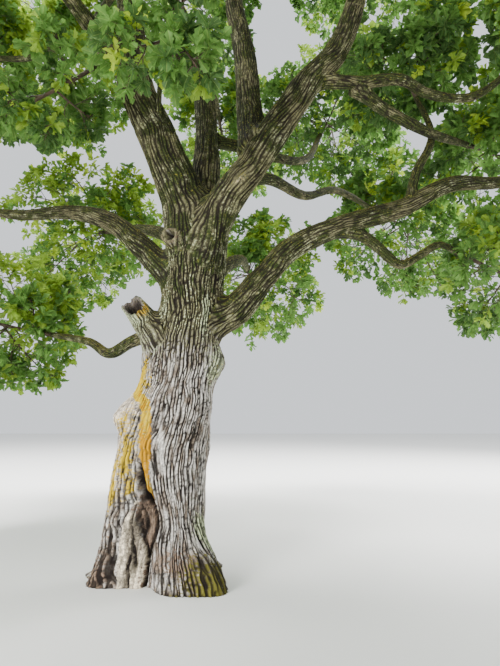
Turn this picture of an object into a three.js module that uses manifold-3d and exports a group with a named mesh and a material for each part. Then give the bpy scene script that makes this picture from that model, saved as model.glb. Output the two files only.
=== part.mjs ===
// An old open-grown oak, about 15 m tall and 15 m across.
// The trunk stands on a flat cut at ground level, leans a little to the right, and forks at 4 m
// into leaders. Each bough is one tapering limb. Each mass of foliage is a spray of twigs and
// blades that grows from the tip of its bough and keeps to its own space in the crown.
// Millimetres, +Z up, +X to the right and +Y away from the viewer. The origin is the middle of
// the foot, on the ground. The tables of limbs and masses are in metres.
import * as THREE from "three";
import { mergeVertices } from "three/addons/utils/BufferGeometryUtils.js";
import Module from "manifold-3d";

const wasm = await Module();
wasm.setup();

const METRE = 1000;
const CLEARANCE = 0.4; // between a piece and the one that carries it
const SMOOTHING = 0.05; // the shortest edges kept where pieces are joined or cut

// Trunk: a leaning column with a flared foot, a left buttress and a hollow between the two.
const TRUNK_HEIGHT = 4150;
const TRUNK_FOOT_RADIUS = 355;
const TRUNK_TOP_RADIUS = 325;
const TRUNK_FOOT_SHIFT = -30; // the column's middle at the ground, along X
const TRUNK_LEAN = 0.085; // sideways travel for each unit of height
const CROTCH_ROUNDING = 420; // height over which the top rounds off at the fork
const CROTCH_TIP_SHARE = 0.08; // width left at the very top
const TRUNK_SIDES = 36;
const TRUNK_RINGS = 22;
const RING_CROWDING = 0.09;

// Roots: each swells the foot at an angle (degrees round +Z from +X) and fades with height.
const ROOTS = [
  { angle: 0, spread: 60, reach: 120, fade: 300 },
  { angle: 40, spread: 20, reach: 300, fade: 260 },
  { angle: 95, spread: 20, reach: 280, fade: 240 },
  { angle: 140, spread: 20, reach: 300, fade: 260 },
  { angle: 172, spread: 13, reach: 300, fade: 170 },
  { angle: 205, spread: 22, reach: 150, fade: 330 },
  { angle: 286, spread: 18, reach: 190, fade: 240 },
];

// Swellings and hollows of the trunk: low and high bound the height, soft is how gently it
// starts and stops, turn moves its angle for each metre of height.
const SWELLINGS = {
  buttress: { angle: 197, spread: 30, low: -900, high: 1830, soft: 230, out: 255 },
  buttressBurl: { angle: 192, spread: 13, low: 1500, high: 1700, soft: 110, out: 165 },
  stubShoulder: { angle: 192, spread: 38, low: 1850, high: 2620, soft: 220, out: 115 },
  mossyRoot: { angle: 320, spread: 23, low: -900, high: 270, soft: 330, out: 430 },
  sideBurl: { angle: 352, spread: 26, low: 2020, high: 2270, soft: 150, out: 110 },
  forkKnot: { angle: 222, spread: 14, low: 3470, high: 3600, soft: 100, out: 95 },
  forkShoulder: { angle: 180, spread: 32, low: 3760, high: 4500, soft: 250, out: 70 },
  hollow: { angle: 256, turn: -27, spread: 11, low: -900, high: 1080, soft: 170, out: -190 },
  deadWood: { angle: 256, turn: -27, spread: 6, low: -900, high: 640, soft: 160, out: 130 },
  seamAbove: { angle: 229, spread: 10, low: 1150, high: 1850, soft: 250, out: -50 },
};

// Limbs, in metres: where each starts inside its parent and the points it passes, then its
// radius at the start and at the end. A limb with a mass runs on towards the mass's middle and
// stops where it enters it.
const LIMBS = [
  { name: "left_leader", from: "trunk", radius: [0.27, 0.06], sides: 8, collar: 0,
    via: [[0.24, 0, 3.2], [0.14, -0.04, 3.9], [-0.14, -0.1, 4.62], [-0.5, -0.2, 5.5],
      [-0.62, -0.05, 6.6], [-0.95, 0.15, 8.2]],
    mass: { at: [-1.7, 0.3, 11.7], radius: 2.1 } },
  { name: "right_leader", from: "trunk", radius: [0.21, 0.05], sides: 8, collar: 0,
    via: [[0.3, -0.02, 3.1], [0.4, -0.16, 3.5], [0.58, -0.3, 3.86], [0.99, -0.4, 4.45],
      [1.45, -0.4, 5.16], [1.85, -0.33, 5.72], [2.13, -0.2, 6.5], [2.35, -0.2, 7.6]],
    mass: { at: [3.2, -0.6, 10.9], radius: 2.1 } },
  { name: "back_leader", from: "trunk", radius: [0.2, 0.05], sides: 8, collar: 0,
    via: [[0.28, 0.08, 3.2], [0.32, 0.2, 4.15], [0.3, 0.5, 5.25], [0.15, 0.9, 6.6]],
    mass: { at: [-0.6, 3.2, 10.0], radius: 2.0 } },
  { name: "middle_leader", from: "right_leader", radius: [0.17, 0.055], sides: 8,
    via: [[0.92, -0.35, 4.4], [0.86, -0.05, 5.05], [0.8, 0.2, 6.03], [0.64, 0.5, 7.2],
      [0.7, 0.7, 8.6]],
    mass: { at: [0.9, 1.1, 12.4], radius: 2.1 } },
  { name: "left_limb", from: "trunk", radius: [0.175, 0.04], taper: 1.35, sides: 8,
    via: [[0.22, 0, 2.9], [-0.12, 0.02, 3.25], [-0.41, 0.1, 3.55], [-0.85, 0.3, 3.93],
      [-1.39, 0.5, 4.12], [-2.2, 0.8, 4.22]],
    mass: { at: [-4.9, 1.0, 4.7], radius: 1.9 } },
  { name: "low_left_limb", from: "trunk", radius: [0.1, 0.04], sides: 8,
    via: [[0.12, 0.08, 2.45], [-0.25, 0.38, 2.56], [-0.6, 0.65, 2.5], [-0.92, 0.9, 2.4],
      [-1.3, 1.25, 2.6]],
    mass: { at: [-2.9, 2.2, 3.0], radius: 1.35 } },
  { name: "right_limb", from: "trunk", radius: [0.165, 0.055], sides: 8,
    via: [[0.3, 0, 2.5], [0.73, 0, 2.79], [1.01, 0, 3.13], [1.33, 0, 3.47],
      [1.94, 0, 3.76], [2.62, 0.1, 3.99], [3.25, 0.2, 4.34], [3.97, 0.4, 4.48]],
    mass: { at: [6.2, 0.8, 5.2], radius: 1.8 } },
  { name: "broken_stub", from: "trunk", radius: [0.17, 0.13], sides: 10,
    via: [[-0.05, -0.05, 2.3], [-0.2, -0.12, 2.55], [-0.4, -0.22, 2.82]] },
  { name: "drooping_branch", from: "right_limb", radius: [0.075, 0.035], sides: 5,
    via: [[1.8, 0, 3.7], [2.17, 0.12, 3.66], [2.38, 0.2, 3.54], [2.63, 0.3, 3.38],
      [2.92, 0.4, 3.53], [3.2, 0.5, 3.7]],
    mass: { at: [4.3, 1.1, 3.5], radius: 1.1 } },
  { name: "rising_branch", from: "right_limb", radius: [0.06, 0.035], sides: 5,
    via: [[2.72, 0.1, 4.03], [2.86, 0.2, 4.5], [3.12, 0.4, 4.95], [3.3, 0.8, 5.5]],
    mass: { at: [3.2, 1.6, 7.1], radius: 1.3 } },
  { name: "upper_side_branch", from: "right_leader", radius: [0.08, 0.035], sides: 5,
    via: [[1.6, -0.38, 5.3], [2.13, -0.3, 5.34], [2.61, -0.2, 5.45], [3.0, 0, 5.41],
      [3.63, 0.2, 5.52]],
    mass: { at: [5.5, 0.5, 7.1], radius: 1.6 } },
  { name: "lower_side_branch", from: "upper_side_branch", radius: [0.08, 0.04], sides: 5,
    via: [[2.0, -0.3, 5.3], [2.44, -0.05, 5.18], [2.8, 0.15, 5.12], [3.11, 0.35, 5.12]],
    mass: { at: [5.0, 2.4, 6.0], radius: 1.6 } },
  { name: "leader_side_branch", from: "left_leader", radius: [0.11, 0.045], sides: 5,
    via: [[-0.5, -0.2, 5.5], [-0.72, -0.26, 5.78], [-0.95, -0.5, 5.95], [-1.25, -0.85, 6.2]],
    mass: { at: [-3.4, -2.2, 7.6], radius: 1.9 } },
  { name: "upper_left_branch", from: "left_leader", radius: [0.065, 0.035], sides: 5,
    via: [[-0.58, -0.1, 5.95], [-1.0, 0.05, 6.2], [-1.54, 0.3, 6.31], [-2.2, 0.7, 6.45]],
    mass: { at: [-4.1, 1.5, 7.1], radius: 1.8 } },
  { name: "back_right_branch", from: "back_leader", radius: [0.09, 0.04], sides: 5,
    via: [[0.32, 0.22, 4.25], [0.7, 0.4, 4.45], [1.08, 0.75, 4.7], [1.67, 1.5, 4.82],
      [2.19, 2.0, 5.15]],
    mass: { at: [4.1, 4.4, 5.5], radius: 1.8 } },
  { name: "back_high_branch", from: "back_leader", radius: [0.08, 0.04], sides: 5,
    via: [[0.3, 0.48, 5.1], [0.75, 0.75, 5.15], [1.04, 1.1, 5.25], [1.68, 1.9, 5.6]],
    mass: { at: [2.6, 4.6, 8.0], radius: 1.9 } },
  { name: "back_low_limb", from: "trunk", radius: [0.12, 0.045], sides: 5,
    via: [[0.23, 0.05, 2.8], [0.42, 0.8, 3.4], [0.7, 2.0, 4.0]],
    mass: { at: [0.9, 5.6, 4.8], radius: 1.9 } },
  { name: "back_left_limb", from: "trunk", radius: [0.12, 0.045], sides: 5,
    via: [[0.24, 0.05, 3.2], [-0.1, 0.8, 3.85], [-0.8, 2.0, 4.5]],
    mass: { at: [-2.6, 5.0, 5.6], radius: 1.9 } },
  { name: "front_left_branch", from: "leader_side_branch", radius: [0.06, 0.035], sides: 5,
    via: [[-1.62, -1.08, 6.44], [-2.0, -1.9, 6.35], [-2.5, -2.6, 6.0]],
    mass: { at: [-3.7, -3.8, 4.9], radius: 1.6 } },
  { name: "front_branch", from: "left_leader", radius: [0.09, 0.045], sides: 5,
    via: [[-0.64, -0.04, 6.7], [-0.66, -1.1, 7.2], [-0.5, -2.3, 7.3]],
    mass: { at: [-0.3, -5.0, 7.4], radius: 1.9 } },
  { name: "front_right_branch", from: "right_leader", radius: [0.08, 0.04], sides: 5,
    via: [[2.1, -0.22, 6.4], [2.35, -1.1, 6.7], [2.7, -2.0, 6.8]],
    mass: { at: [3.4, -4.0, 6.9], radius: 1.9 } },
  { name: "right_front_branch", from: "right_leader", radius: [0.08, 0.04], sides: 5,
    via: [[2.28, -0.2, 7.2], [3.0, -0.7, 7.5], [3.7, -1.2, 7.8]],
    mass: { at: [5.4, -2.3, 8.4], radius: 1.8 } },
  { name: "top_left_branch", from: "left_leader", radius: [0.08, 0.04], sides: 5,
    via: [[-0.9, 0.12, 7.95], [-1.5, -0.05, 8.7], [-2.2, -0.25, 9.2]],
    mass: { at: [-4.1, -0.7, 10.0], radius: 1.8 } },
  { name: "top_front_branch", from: "left_leader", radius: [0.08, 0.04], sides: 5,
    via: [[-0.93, 0.14, 8.1], [-0.55, -0.6, 8.6], [-0.15, -1.1, 9.1]],
    mass: { at: [0.5, -2.7, 10.4], radius: 1.9 } },
  { name: "top_back_branch", from: "middle_leader", radius: [0.09, 0.045], sides: 5,
    via: [[0.68, 0.65, 8.2], [1.3, 1.2, 8.8], [2.0, 1.9, 9.4]],
    mass: { at: [3.3, 3.1, 10.7], radius: 1.9 } },
  { name: "back_top_branch", from: "back_leader", radius: [0.08, 0.04], sides: 5,
    via: [[0.08, 1.1, 6.9], [0.15, 2.2, 7.3], [0.2, 3.2, 7.6]],
    mass: { at: [0.2, 5.8, 8.3], radius: 1.8 } },
  { name: "left_back_branch", from: "left_leader", radius: [0.08, 0.04], sides: 5,
    via: [[-0.76, 0.05, 7.3], [-1.2, 1.0, 7.7], [-1.9, 2.0, 8.0]],
    mass: { at: [-3.2, 3.8, 8.6], radius: 1.9 } },
  { name: "far_right_branch", from: "right_leader", radius: [0.075, 0.04], sides: 5,
    via: [[2.38, -0.22, 7.8], [3.1, 0.25, 8.2], [3.9, 0.7, 8.6]],
    mass: { at: [5.8, 1.7, 9.5], radius: 1.8 } },
  { name: "front_twig", from: "left_leader", radius: [0.035, 0.025], sides: 5,
    via: [[-0.2, -0.12, 4.8], [-0.12, -0.5, 5.15], [0.0, -0.8, 5.25]],
    mass: { at: [0.15, -1.5, 4.9], radius: 0.8 } },
  { name: "left_twig", from: "left_leader", radius: [0.035, 0.025], sides: 5,
    via: [[-0.42, -0.18, 5.25], [-0.62, -0.42, 5.45], [-0.85, -0.52, 5.35]],
    mass: { at: [-1.3, -0.75, 4.85], radius: 0.85 } },
];
const ENTRY_SHARE = 0.82; // how far from its middle, in radii, a bough enters a mass
const COLLAR_OUT = 0.3; // how much wider a limb is at its root, and over how many radii
const COLLAR_LENGTH = 1.6;
const RINGS_PER_POINT = 1; // rings of a limb for each point it passes

// Foliage: one stem in each mass, twigs that leave it at the golden angle, and blades on them.
// A blade stands for a whole spray of leaves.
const GOLDEN_ANGLE = Math.PI * (3 - Math.sqrt(5));
const MASS_FLATNESS = 0.86; // height of a mass's space over its width
const STEM_REACH = 0.28; // how far past the middle the stem runs, in radii
const TWIGS_PER_METRE = 2.5; // of a mass's radius
const FEWEST_TWIGS = 3;
const BLADES_PER_TWIG = 3;
const SHORTEST_TWIG = 0.12;
const REACH_STEP = 0.05; // how finely a twig's length is fitted to the space
const BLADE_ATTEMPTS = 4; // tries at a blade that crosses no other
const STEM_END_RADIUS = 0.034;
const TWIG_ROOT_RADIUS = 0.02;
const TWIG_END_RADIUS = 0.015;
const BLADE_LENGTH = 0.54; // over the radius of its mass
const BLADE_WIDTH = 0.72; // over its length
const BLADE_THICKNESS = 0.032; // over its length
const BLADE_WIDEST = 0.52; // where along its length a blade is widest
const BLADE_ROLL = 2.2; // radians, in all, by which blades are turned about their length
const BLADE_SINK = 0.012; // how deep the root of a twig's last blade sits in its end
const BLADE_DROOP = { spread: 0.6, sink: 0.36 }; // how blades rise and hang against level
const SIDE_BLADE = { forward: 0.6, first: 0.9, apart: 0.3, scatter: 0.15 };
const STEM_BEND = 0.4; // where the stem bends, in radii from the tip of its bough
const STEM_SIDES = 4;
const STEM_RINGS = 3;
const STEM_ROOT_SHARE = 0.9; // the stem's root over the tip of its bough
const FIRST_TWIG = 0.3; // where along the stem its twigs start and end
const LAST_TWIG = 0.98;
const TWIG_SCATTER = 0.6; // radians
const CELL_MARGIN = 0.012; // half the gap kept between neighbouring spaces
const LIMB_MARGIN = 0.05; // space kept between foliage and every limb
const SEED = 20261;

const COLOURS = {
  bark: { color: 0x8b8172, roughness: 0.95 },
  limb: { color: 0x6f6757, roughness: 0.95 },
  leaf: { color: 0x4f7a2a, roughness: 0.6 },
};

function smooth(low, high, value) {
  const share = Math.min(1, Math.max(0, (value - low) / (high - low)));
  return share * share * (3 - 2 * share);
}

function turnBetween(a, b) {
  return ((((a - b) % 360) + 540) % 360) - 180;
}

// How far up its rounded top a height lies: 0 where the rounding starts, 1 at the very top.
function domeShare(height) {
  const start = TRUNK_HEIGHT - CROTCH_ROUNDING;
  return Math.min(1, Math.max(0, (height - start) / CROTCH_ROUNDING));
}

// Radius of the trunk in millimetres at an angle in degrees and a height in millimetres.
function trunkRadius(angle, height) {
  const taper = TRUNK_FOOT_RADIUS - TRUNK_TOP_RADIUS;
  let radius = TRUNK_FOOT_RADIUS - (taper * height) / TRUNK_HEIGHT;
  for (const root of ROOTS) {
    const off = turnBetween(angle, root.angle) / root.spread;
    radius += root.reach * Math.exp(-off * off) * Math.exp(-height / root.fade);
  }
  for (const s of Object.values(SWELLINGS)) {
    const off = turnBetween(angle, s.angle + ((s.turn ?? 0) * height) / METRE) / s.spread;
    const started = smooth(s.low - s.soft, s.low + s.soft, height);
    const stopped = smooth(s.high - s.soft, s.high + s.soft, height);
    radius += s.out * Math.exp(-off * off) * started * (1 - stopped);
  }
  return radius * Math.max(CROTCH_TIP_SHARE, Math.sqrt(1 - domeShare(height) ** 2));
}

// A closed tube made from a cylinder: place(share, angle, rim, point) puts each vertex, where
// share runs from 0 at the foot to 1 at the tip and rim is 0 on the axis and 1 on the surface.
function closedTube(sides, rings, place) {
  const geometry = new THREE.CylinderGeometry(1, 1, 1, sides, rings);
  geometry.deleteAttribute("normal");
  geometry.deleteAttribute("uv");
  const position = geometry.attributes.position;
  const point = new THREE.Vector3();
  for (let i = 0; i < position.count; i++) {
    const x = position.getX(i);
    const z = position.getZ(i);
    place(position.getY(i) + 0.5, Math.atan2(x, z), Math.min(1, Math.hypot(x, z)), point);
    position.setXYZ(i, point.x, point.y, point.z);
  }
  return mergeVertices(geometry, 1e-3);
}

function solidOf(geometry) {
  return new wasm.Manifold(
    new wasm.Mesh({
      numProp: 3,
      vertProperties: new Float32Array(geometry.attributes.position.array),
      triVerts: new Uint32Array(geometry.index.array),
    }),
  );
}

function geometryOf(solid) {
  const mesh = solid.getMesh();
  const geometry = new THREE.BufferGeometry();
  geometry.setAttribute("position", new THREE.BufferAttribute(mesh.vertProperties, 3));
  geometry.setIndex(new THREE.BufferAttribute(mesh.triVerts, 1));
  return geometry.toNonIndexed();
}

// The rings of the trunk crowd together at the flared foot and at the rounded top.
function trunkHeight(share) {
  return TRUNK_HEIGHT * (share - RING_CROWDING * Math.sin(2 * Math.PI * share));
}

function trunkSolid(swell) {
  return solidOf(
    closedTube(TRUNK_SIDES, TRUNK_RINGS, (share, turn, rim, point) => {
      const height = trunkHeight(share);
      const angle = turn - Math.PI / 2;
      const radius = rim * (trunkRadius(THREE.MathUtils.radToDeg(angle), height) + swell);
      const middle = TRUNK_FOOT_SHIFT + TRUNK_LEAN * height;
      const lift = swell * domeShare(height);
      point.set(middle + radius * Math.cos(angle), radius * Math.sin(angle), height + lift);
    }),
  );
}

function vector([x, y, z]) {
  return new THREE.Vector3(x * METRE, y * METRE, z * METRE);
}

// A limb's own numbers: its path, its rings, and its radius at a share of its length.
function limbShape(limb) {
  const points = limb.via.map(vector);
  if (limb.mass) {
    const middle = vector(limb.mass.at);
    const last = points[points.length - 1];
    const inward = last.clone().sub(middle).setLength(limb.mass.radius * METRE * ENTRY_SHARE);
    points.push(middle.clone().add(inward));
  }
  const path = new THREE.CatmullRomCurve3(points, false, "centripetal");
  const length = path.getLength();
  const rings = Math.round(points.length * RINGS_PER_POINT);
  const frames = path.computeFrenetFrames(rings, false);
  const [root, tip] = limb.radius.map((r) => r * METRE);
  const flare = (limb.collar ?? COLLAR_OUT) * root;
  const radiusAt = (share) => {
    const collar = flare * Math.exp(-(share * length) / (COLLAR_LENGTH * root));
    return tip + (root - tip) * (1 - share) ** (limb.taper ?? 1) + collar;
  };
  return { path, rings, frames, radiusAt, sides: limb.sides };
}

function limbSolid(shape, swell) {
  const { path, rings, frames, radiusAt, sides } = shape;
  return solidOf(
    closedTube(sides, rings, (share, turn, rim, point) => {
      const ring = Math.round(share * rings);
      const radius = rim * (radiusAt(share) + swell);
      path.getPointAt(share, point);
      point.addScaledVector(frames.normals[ring], radius * Math.cos(turn));
      point.addScaledVector(frames.binormals[ring], radius * Math.sin(turn));
      if (share === 0) point.addScaledVector(frames.tangents[ring], -swell);
      if (share === 1) point.addScaledVector(frames.tangents[ring], swell);
    }),
  );
}

function largestPiece(solid) {
  const pieces = solid.decompose();
  return pieces.reduce((best, piece) => (piece.volume() > best.volume() ? piece : best));
}

// Random numbers from 0 to 1 that come out the same each time.
function randomSource(seed) {
  let state = seed >>> 0;
  return () => {
    state = (state + 0x6d2b79f5) >>> 0;
    let mixed = Math.imul(state ^ (state >>> 15), 1 | state);
    mixed = (mixed + Math.imul(mixed ^ (mixed >>> 7), 61 | mixed)) ^ mixed;
    return ((mixed ^ (mixed >>> 14)) >>> 0) / 4294967296;
  };
}

// A mass keeps to its own space: an ellipsoid, cut flat halfway to each neighbour's.
function insideSpace(mass, masses, point) {
  const middle = vector(mass.at);
  const radius = mass.radius * METRE;
  const off = point.clone().sub(middle);
  if (Math.hypot(off.x, off.y, off.z / MASS_FLATNESS) > radius) return false;
  return masses.every((other) => {
    if (other === mass) return true;
    const away = vector(other.at).sub(middle);
    const share = mass.radius / (mass.radius + other.radius);
    return off.dot(away) / away.length() < away.length() * share - CELL_MARGIN * METRE;
  });
}

function boxed(solid) {
  const { min, max } = solid.boundingBox();
  const box = new THREE.Box3(new THREE.Vector3(...min), new THREE.Vector3(...max));
  return { solid, box };
}

function meets(one, other) {
  return one.box.intersectsBox(other.box) && one.solid.intersect(other.solid).volume() > 0;
}

// A tapering three-sided twig from one point to another.
function twigSolid(start, end, startRadius, endRadius) {
  const along = end.clone().sub(start).normalize();
  const turn = new THREE.Quaternion().setFromUnitVectors(new THREE.Vector3(0, 1, 0), along);
  return solidOf(
    closedTube(3, 1, (share, angle, rim, point) => {
      const radius = rim * (startRadius + (endRadius - startRadius) * share);
      point.set(radius * Math.sin(angle), 0, radius * Math.cos(angle)).applyQuaternion(turn);
      point.addScaledVector(start, 1 - share).addScaledVector(end, share);
    }),
  );
}

// The six corners of a blade: root, two sides, tip, and the thickness above and below.
function bladeCorners(root, along, across, length) {
  const up = across.clone().cross(along);
  const wide = root.clone().addScaledVector(along, length * BLADE_WIDEST);
  return [
    root.clone(),
    wide.clone().addScaledVector(across, (length * BLADE_WIDTH) / 2),
    root.clone().addScaledVector(along, length),
    wide.clone().addScaledVector(across, (-length * BLADE_WIDTH) / 2),
    wide.clone().addScaledVector(up, (length * BLADE_THICKNESS) / 2),
    wide.clone().addScaledVector(up, (-length * BLADE_THICKNESS) / 2),
  ];
}

function bladeSolid(corners) {
  const [ROOT, SIDE, TIP, OTHER_SIDE, ABOVE, BELOW] = [0, 1, 2, 3, 4, 5];
  const rim = [ROOT, OTHER_SIDE, TIP, SIDE];
  const faces = rim.flatMap((a, i) => {
    const b = rim[(i + 1) % rim.length];
    return [a, b, ABOVE, b, a, BELOW];
  });
  const geometry = new THREE.BufferGeometry().setFromPoints(corners);
  geometry.setIndex(faces);
  const solid = solidOf(geometry);
  if (solid.volume() > 0) return solid;
  return solidOf(geometry.setIndex(faces.reverse()));
}

// The corners of one blade of a twig: the first goes on from the twig's end, the others leave
// it on either side.
function bladeOn(root, end, way, number, bladeLength, random) {
  const up = new THREE.Vector3(0, 0, 1);
  const across = way.clone().cross(up);
  if (across.length() < 0.2) across.set(1, 0, 0);
  across.normalize();
  const side = number === 0 ? 0 : number % 2 ? 1 : -1;
  const { forward, first, apart, scatter } = SIDE_BLADE;
  const place = side === 0 ? 1 : first - apart * (number - 1) - scatter * random();
  const foot = root.clone().lerp(end, place);
  if (side === 0) foot.addScaledVector(way, -BLADE_SINK * METRE);
  const along = way
    .clone()
    .multiplyScalar(side === 0 ? 1 : forward)
    .addScaledVector(across, side)
    .addScaledVector(up, random() * BLADE_DROOP.spread - BLADE_DROOP.sink)
    .normalize();
  const flat = up.clone().cross(along);
  if (flat.length() < 0.2) flat.set(1, 0, 0);
  flat.normalize().applyAxisAngle(along, (random() - 0.5) * BLADE_ROLL);
  return bladeCorners(foot, along, flat, bladeLength);
}

// One mass: a stem from the tip of its bough, twigs round it, and blades on the twigs.
function massSolid(mass, masses, shape, obstacles, seed) {
  const random = randomSource(seed);
  const tip = shape.path.getPointAt(1);
  const heading = shape.path.getTangentAt(1).normalize();
  const stemRadius = STEM_ROOT_SHARE * shape.radiusAt(1);
  const middle = vector(mass.at);
  const radius = mass.radius * METRE;
  const start = tip.clone().addScaledVector(heading, CLEARANCE);
  const past = middle.clone().addScaledVector(heading, STEM_REACH * radius);
  const bend = tip.clone().addScaledVector(heading, STEM_BEND * radius);
  const stem = new THREE.QuadraticBezierCurve3(start, bend, past);
  const inside = (point) => insideSpace(mass, masses, point);
  const blocked = (piece) => obstacles.some((limb) => meets(piece, limb));

  const stemSolid = solidOf(
    closedTube(STEM_SIDES, STEM_RINGS, (share, angle, rim, point) => {
      const along = share === 0 ? heading : stem.getTangent(share).normalize();
      const turn = new THREE.Quaternion().setFromUnitVectors(new THREE.Vector3(0, 1, 0), along);
      const thick = rim * (stemRadius * (1 - share) + STEM_END_RADIUS * METRE * share);
      point.set(thick * Math.sin(angle), 0, thick * Math.cos(angle)).applyQuaternion(turn);
      point.add(stem.getPoint(share));
    }),
  );

  const twigs = [boxed(stemSolid)];
  const blades = [];
  const bladeLength = BLADE_LENGTH * radius;
  const addBlade = (root, end, way, number) => {
    for (let attempt = 0; attempt < BLADE_ATTEMPTS; attempt++) {
      const corners = bladeOn(root, end, way, number, bladeLength, random);
      if (!corners.every(inside)) continue;
      const blade = boxed(bladeSolid(corners));
      if (blocked(blade) || blades.some((other) => meets(blade, other))) continue;
      blades.push(blade);
      return;
    }
  };

  const count = Math.max(FEWEST_TWIGS, Math.round(TWIGS_PER_METRE * mass.radius));
  for (let i = 0; i < count; i++) {
    const share = (i + 0.5) / count;
    const root = stem.getPoint(FIRST_TWIG + (LAST_TWIG - FIRST_TWIG) * share);
    const rise = 1 - 2 * share;
    const spin = i * GOLDEN_ANGLE + random() * TWIG_SCATTER;
    const level = Math.sqrt(1 - rise * rise);
    const way = new THREE.Vector3(level * Math.cos(spin), level * Math.sin(spin), rise);
    let reach = 2 * radius;
    while (reach > bladeLength && !inside(root.clone().addScaledVector(way, reach))) {
      reach -= REACH_STEP * METRE;
    }
    const length = reach - bladeLength;
    const end = root.clone().addScaledVector(way, length);
    if (length < SHORTEST_TWIG * METRE) continue;
    const twig = boxed(twigSolid(root, end, TWIG_ROOT_RADIUS * METRE, TWIG_END_RADIUS * METRE));
    if (blocked(twig)) continue;
    twigs.push(twig);
    for (let j = 0; j < BLADES_PER_TWIG; j++) addBlade(root, end, way, j);
  }
  const stemHeading = stem.getTangent(1).normalize();
  addBlade(stem.getPoint(0.5), stem.getPoint(1), stemHeading, 0);

  const pieces = [...twigs, ...blades].map((piece) => piece.solid);
  return largestPiece(pieces.reduce((sum, piece) => sum.add(piece)).simplify(SMOOTHING));
}

const tree = new THREE.Group();
const meshes = new Map([["", tree]]);

// Each piece hangs on the one that carries it.
function addNode(name, carrier, solid, look) {
  const mesh = new THREE.Mesh(geometryOf(solid), new THREE.MeshStandardMaterial(look));
  mesh.name = name;
  meshes.get(carrier).add(mesh);
  meshes.set(name, mesh);
}

addNode("trunk", "", trunkSolid(0), COLOURS.bark);

// Each limb is cut clear of the trunk and of the limbs before it.
const shapes = LIMBS.map(limbShape);
const swelled = [trunkSolid(CLEARANCE)];
LIMBS.forEach((limb, i) => {
  const cut = swelled.reduce((solid, other) => solid.subtract(other), limbSolid(shapes[i], 0));
  addNode(limb.name, limb.from, largestPiece(cut.simplify(SMOOTHING)), COLOURS.limb);
  swelled.push(limbSolid(shapes[i], CLEARANCE));
});

const margin = LIMB_MARGIN * METRE;
const obstacles = [trunkSolid(margin), ...shapes.map((shape) => limbSolid(shape, margin))].map(boxed);
const masses = LIMBS.filter((limb) => limb.mass).map((limb) => limb.mass);
LIMBS.forEach((limb, i) => {
  if (!limb.mass) return;
  const foliage = massSolid(limb.mass, masses, shapes[i], obstacles, SEED + i);
  addNode(`${limb.name}_foliage`, limb.name, foliage, COLOURS.leaf);
});

export default tree;
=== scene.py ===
"""Looks of the old open-grown oak: bark in relief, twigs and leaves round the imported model."""

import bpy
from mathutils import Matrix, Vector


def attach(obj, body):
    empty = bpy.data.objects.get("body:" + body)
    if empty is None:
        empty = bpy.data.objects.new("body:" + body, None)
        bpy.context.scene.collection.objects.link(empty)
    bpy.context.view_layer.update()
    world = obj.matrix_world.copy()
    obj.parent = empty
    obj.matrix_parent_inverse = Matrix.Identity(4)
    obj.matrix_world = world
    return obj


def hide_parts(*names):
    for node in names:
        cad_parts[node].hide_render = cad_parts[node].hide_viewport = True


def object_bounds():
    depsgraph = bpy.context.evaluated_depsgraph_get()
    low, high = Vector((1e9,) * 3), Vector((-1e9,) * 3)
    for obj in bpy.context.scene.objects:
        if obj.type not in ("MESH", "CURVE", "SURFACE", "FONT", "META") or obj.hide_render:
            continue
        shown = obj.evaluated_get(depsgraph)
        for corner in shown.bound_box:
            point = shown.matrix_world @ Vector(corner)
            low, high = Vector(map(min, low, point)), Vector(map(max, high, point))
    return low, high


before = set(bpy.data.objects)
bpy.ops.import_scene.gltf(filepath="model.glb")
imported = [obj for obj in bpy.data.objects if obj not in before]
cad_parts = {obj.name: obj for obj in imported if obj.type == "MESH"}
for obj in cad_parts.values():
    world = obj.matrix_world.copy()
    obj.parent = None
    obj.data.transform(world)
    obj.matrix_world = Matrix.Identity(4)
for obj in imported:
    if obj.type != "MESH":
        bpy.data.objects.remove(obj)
CAD_BOX = [list(corner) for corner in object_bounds()]

import math
from types import SimpleNamespace

import bpy
import numpy as np

bl_info = {
    "name": "Old open-grown oak",
    "version": (1, 0, 0),
    "blender": (4, 5, 0),
    "location": "View3D > Sidebar > Oak",
    "description": "Bark, twigs and leaves for the packed oak, and a plain studio round it",
    "category": "Object",
}

BODY = "root"
PIECE_LIMIT = 195000  # triangles in one joined piece of leaves or twigs

# Trunk, in metres: a leaning column, then what swells or hollows it, by angle round +Z from +X.
TRUNK_HEIGHT = 4.15
TRUNK_FOOT_RADIUS = 0.355
TRUNK_TOP_RADIUS = 0.325
TRUNK_FOOT_SHIFT = -0.03
TRUNK_LEAN = 0.085
CROTCH_ROUNDING = 0.42
CROTCH_TIP_SHARE = 0.08
TRUNK_GIRTH = 2.86  # round the trunk at knee height, for the spacing of its bark
TRUNK_RINGS = 230
GRAIN_RADIUS = 0.42  # radius round which the bark's grain is laid, so that it isn't stretched
GRAIN_DRIFT = 0.11  # how far the furrows drift to the right between hip height and the limbs

# Each root swells the foot at an angle and fades with height.
ROOTS = [
    {"angle": 0, "spread": 60, "reach": 0.12, "fade": 0.3},
    {"angle": 40, "spread": 20, "reach": 0.3, "fade": 0.26},
    {"angle": 95, "spread": 20, "reach": 0.28, "fade": 0.24},
    {"angle": 140, "spread": 20, "reach": 0.3, "fade": 0.26},
    {"angle": 172, "spread": 13, "reach": 0.3, "fade": 0.17},
    {"angle": 205, "spread": 22, "reach": 0.15, "fade": 0.33},
    {"angle": 286, "spread": 18, "reach": 0.19, "fade": 0.24},
]

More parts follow.
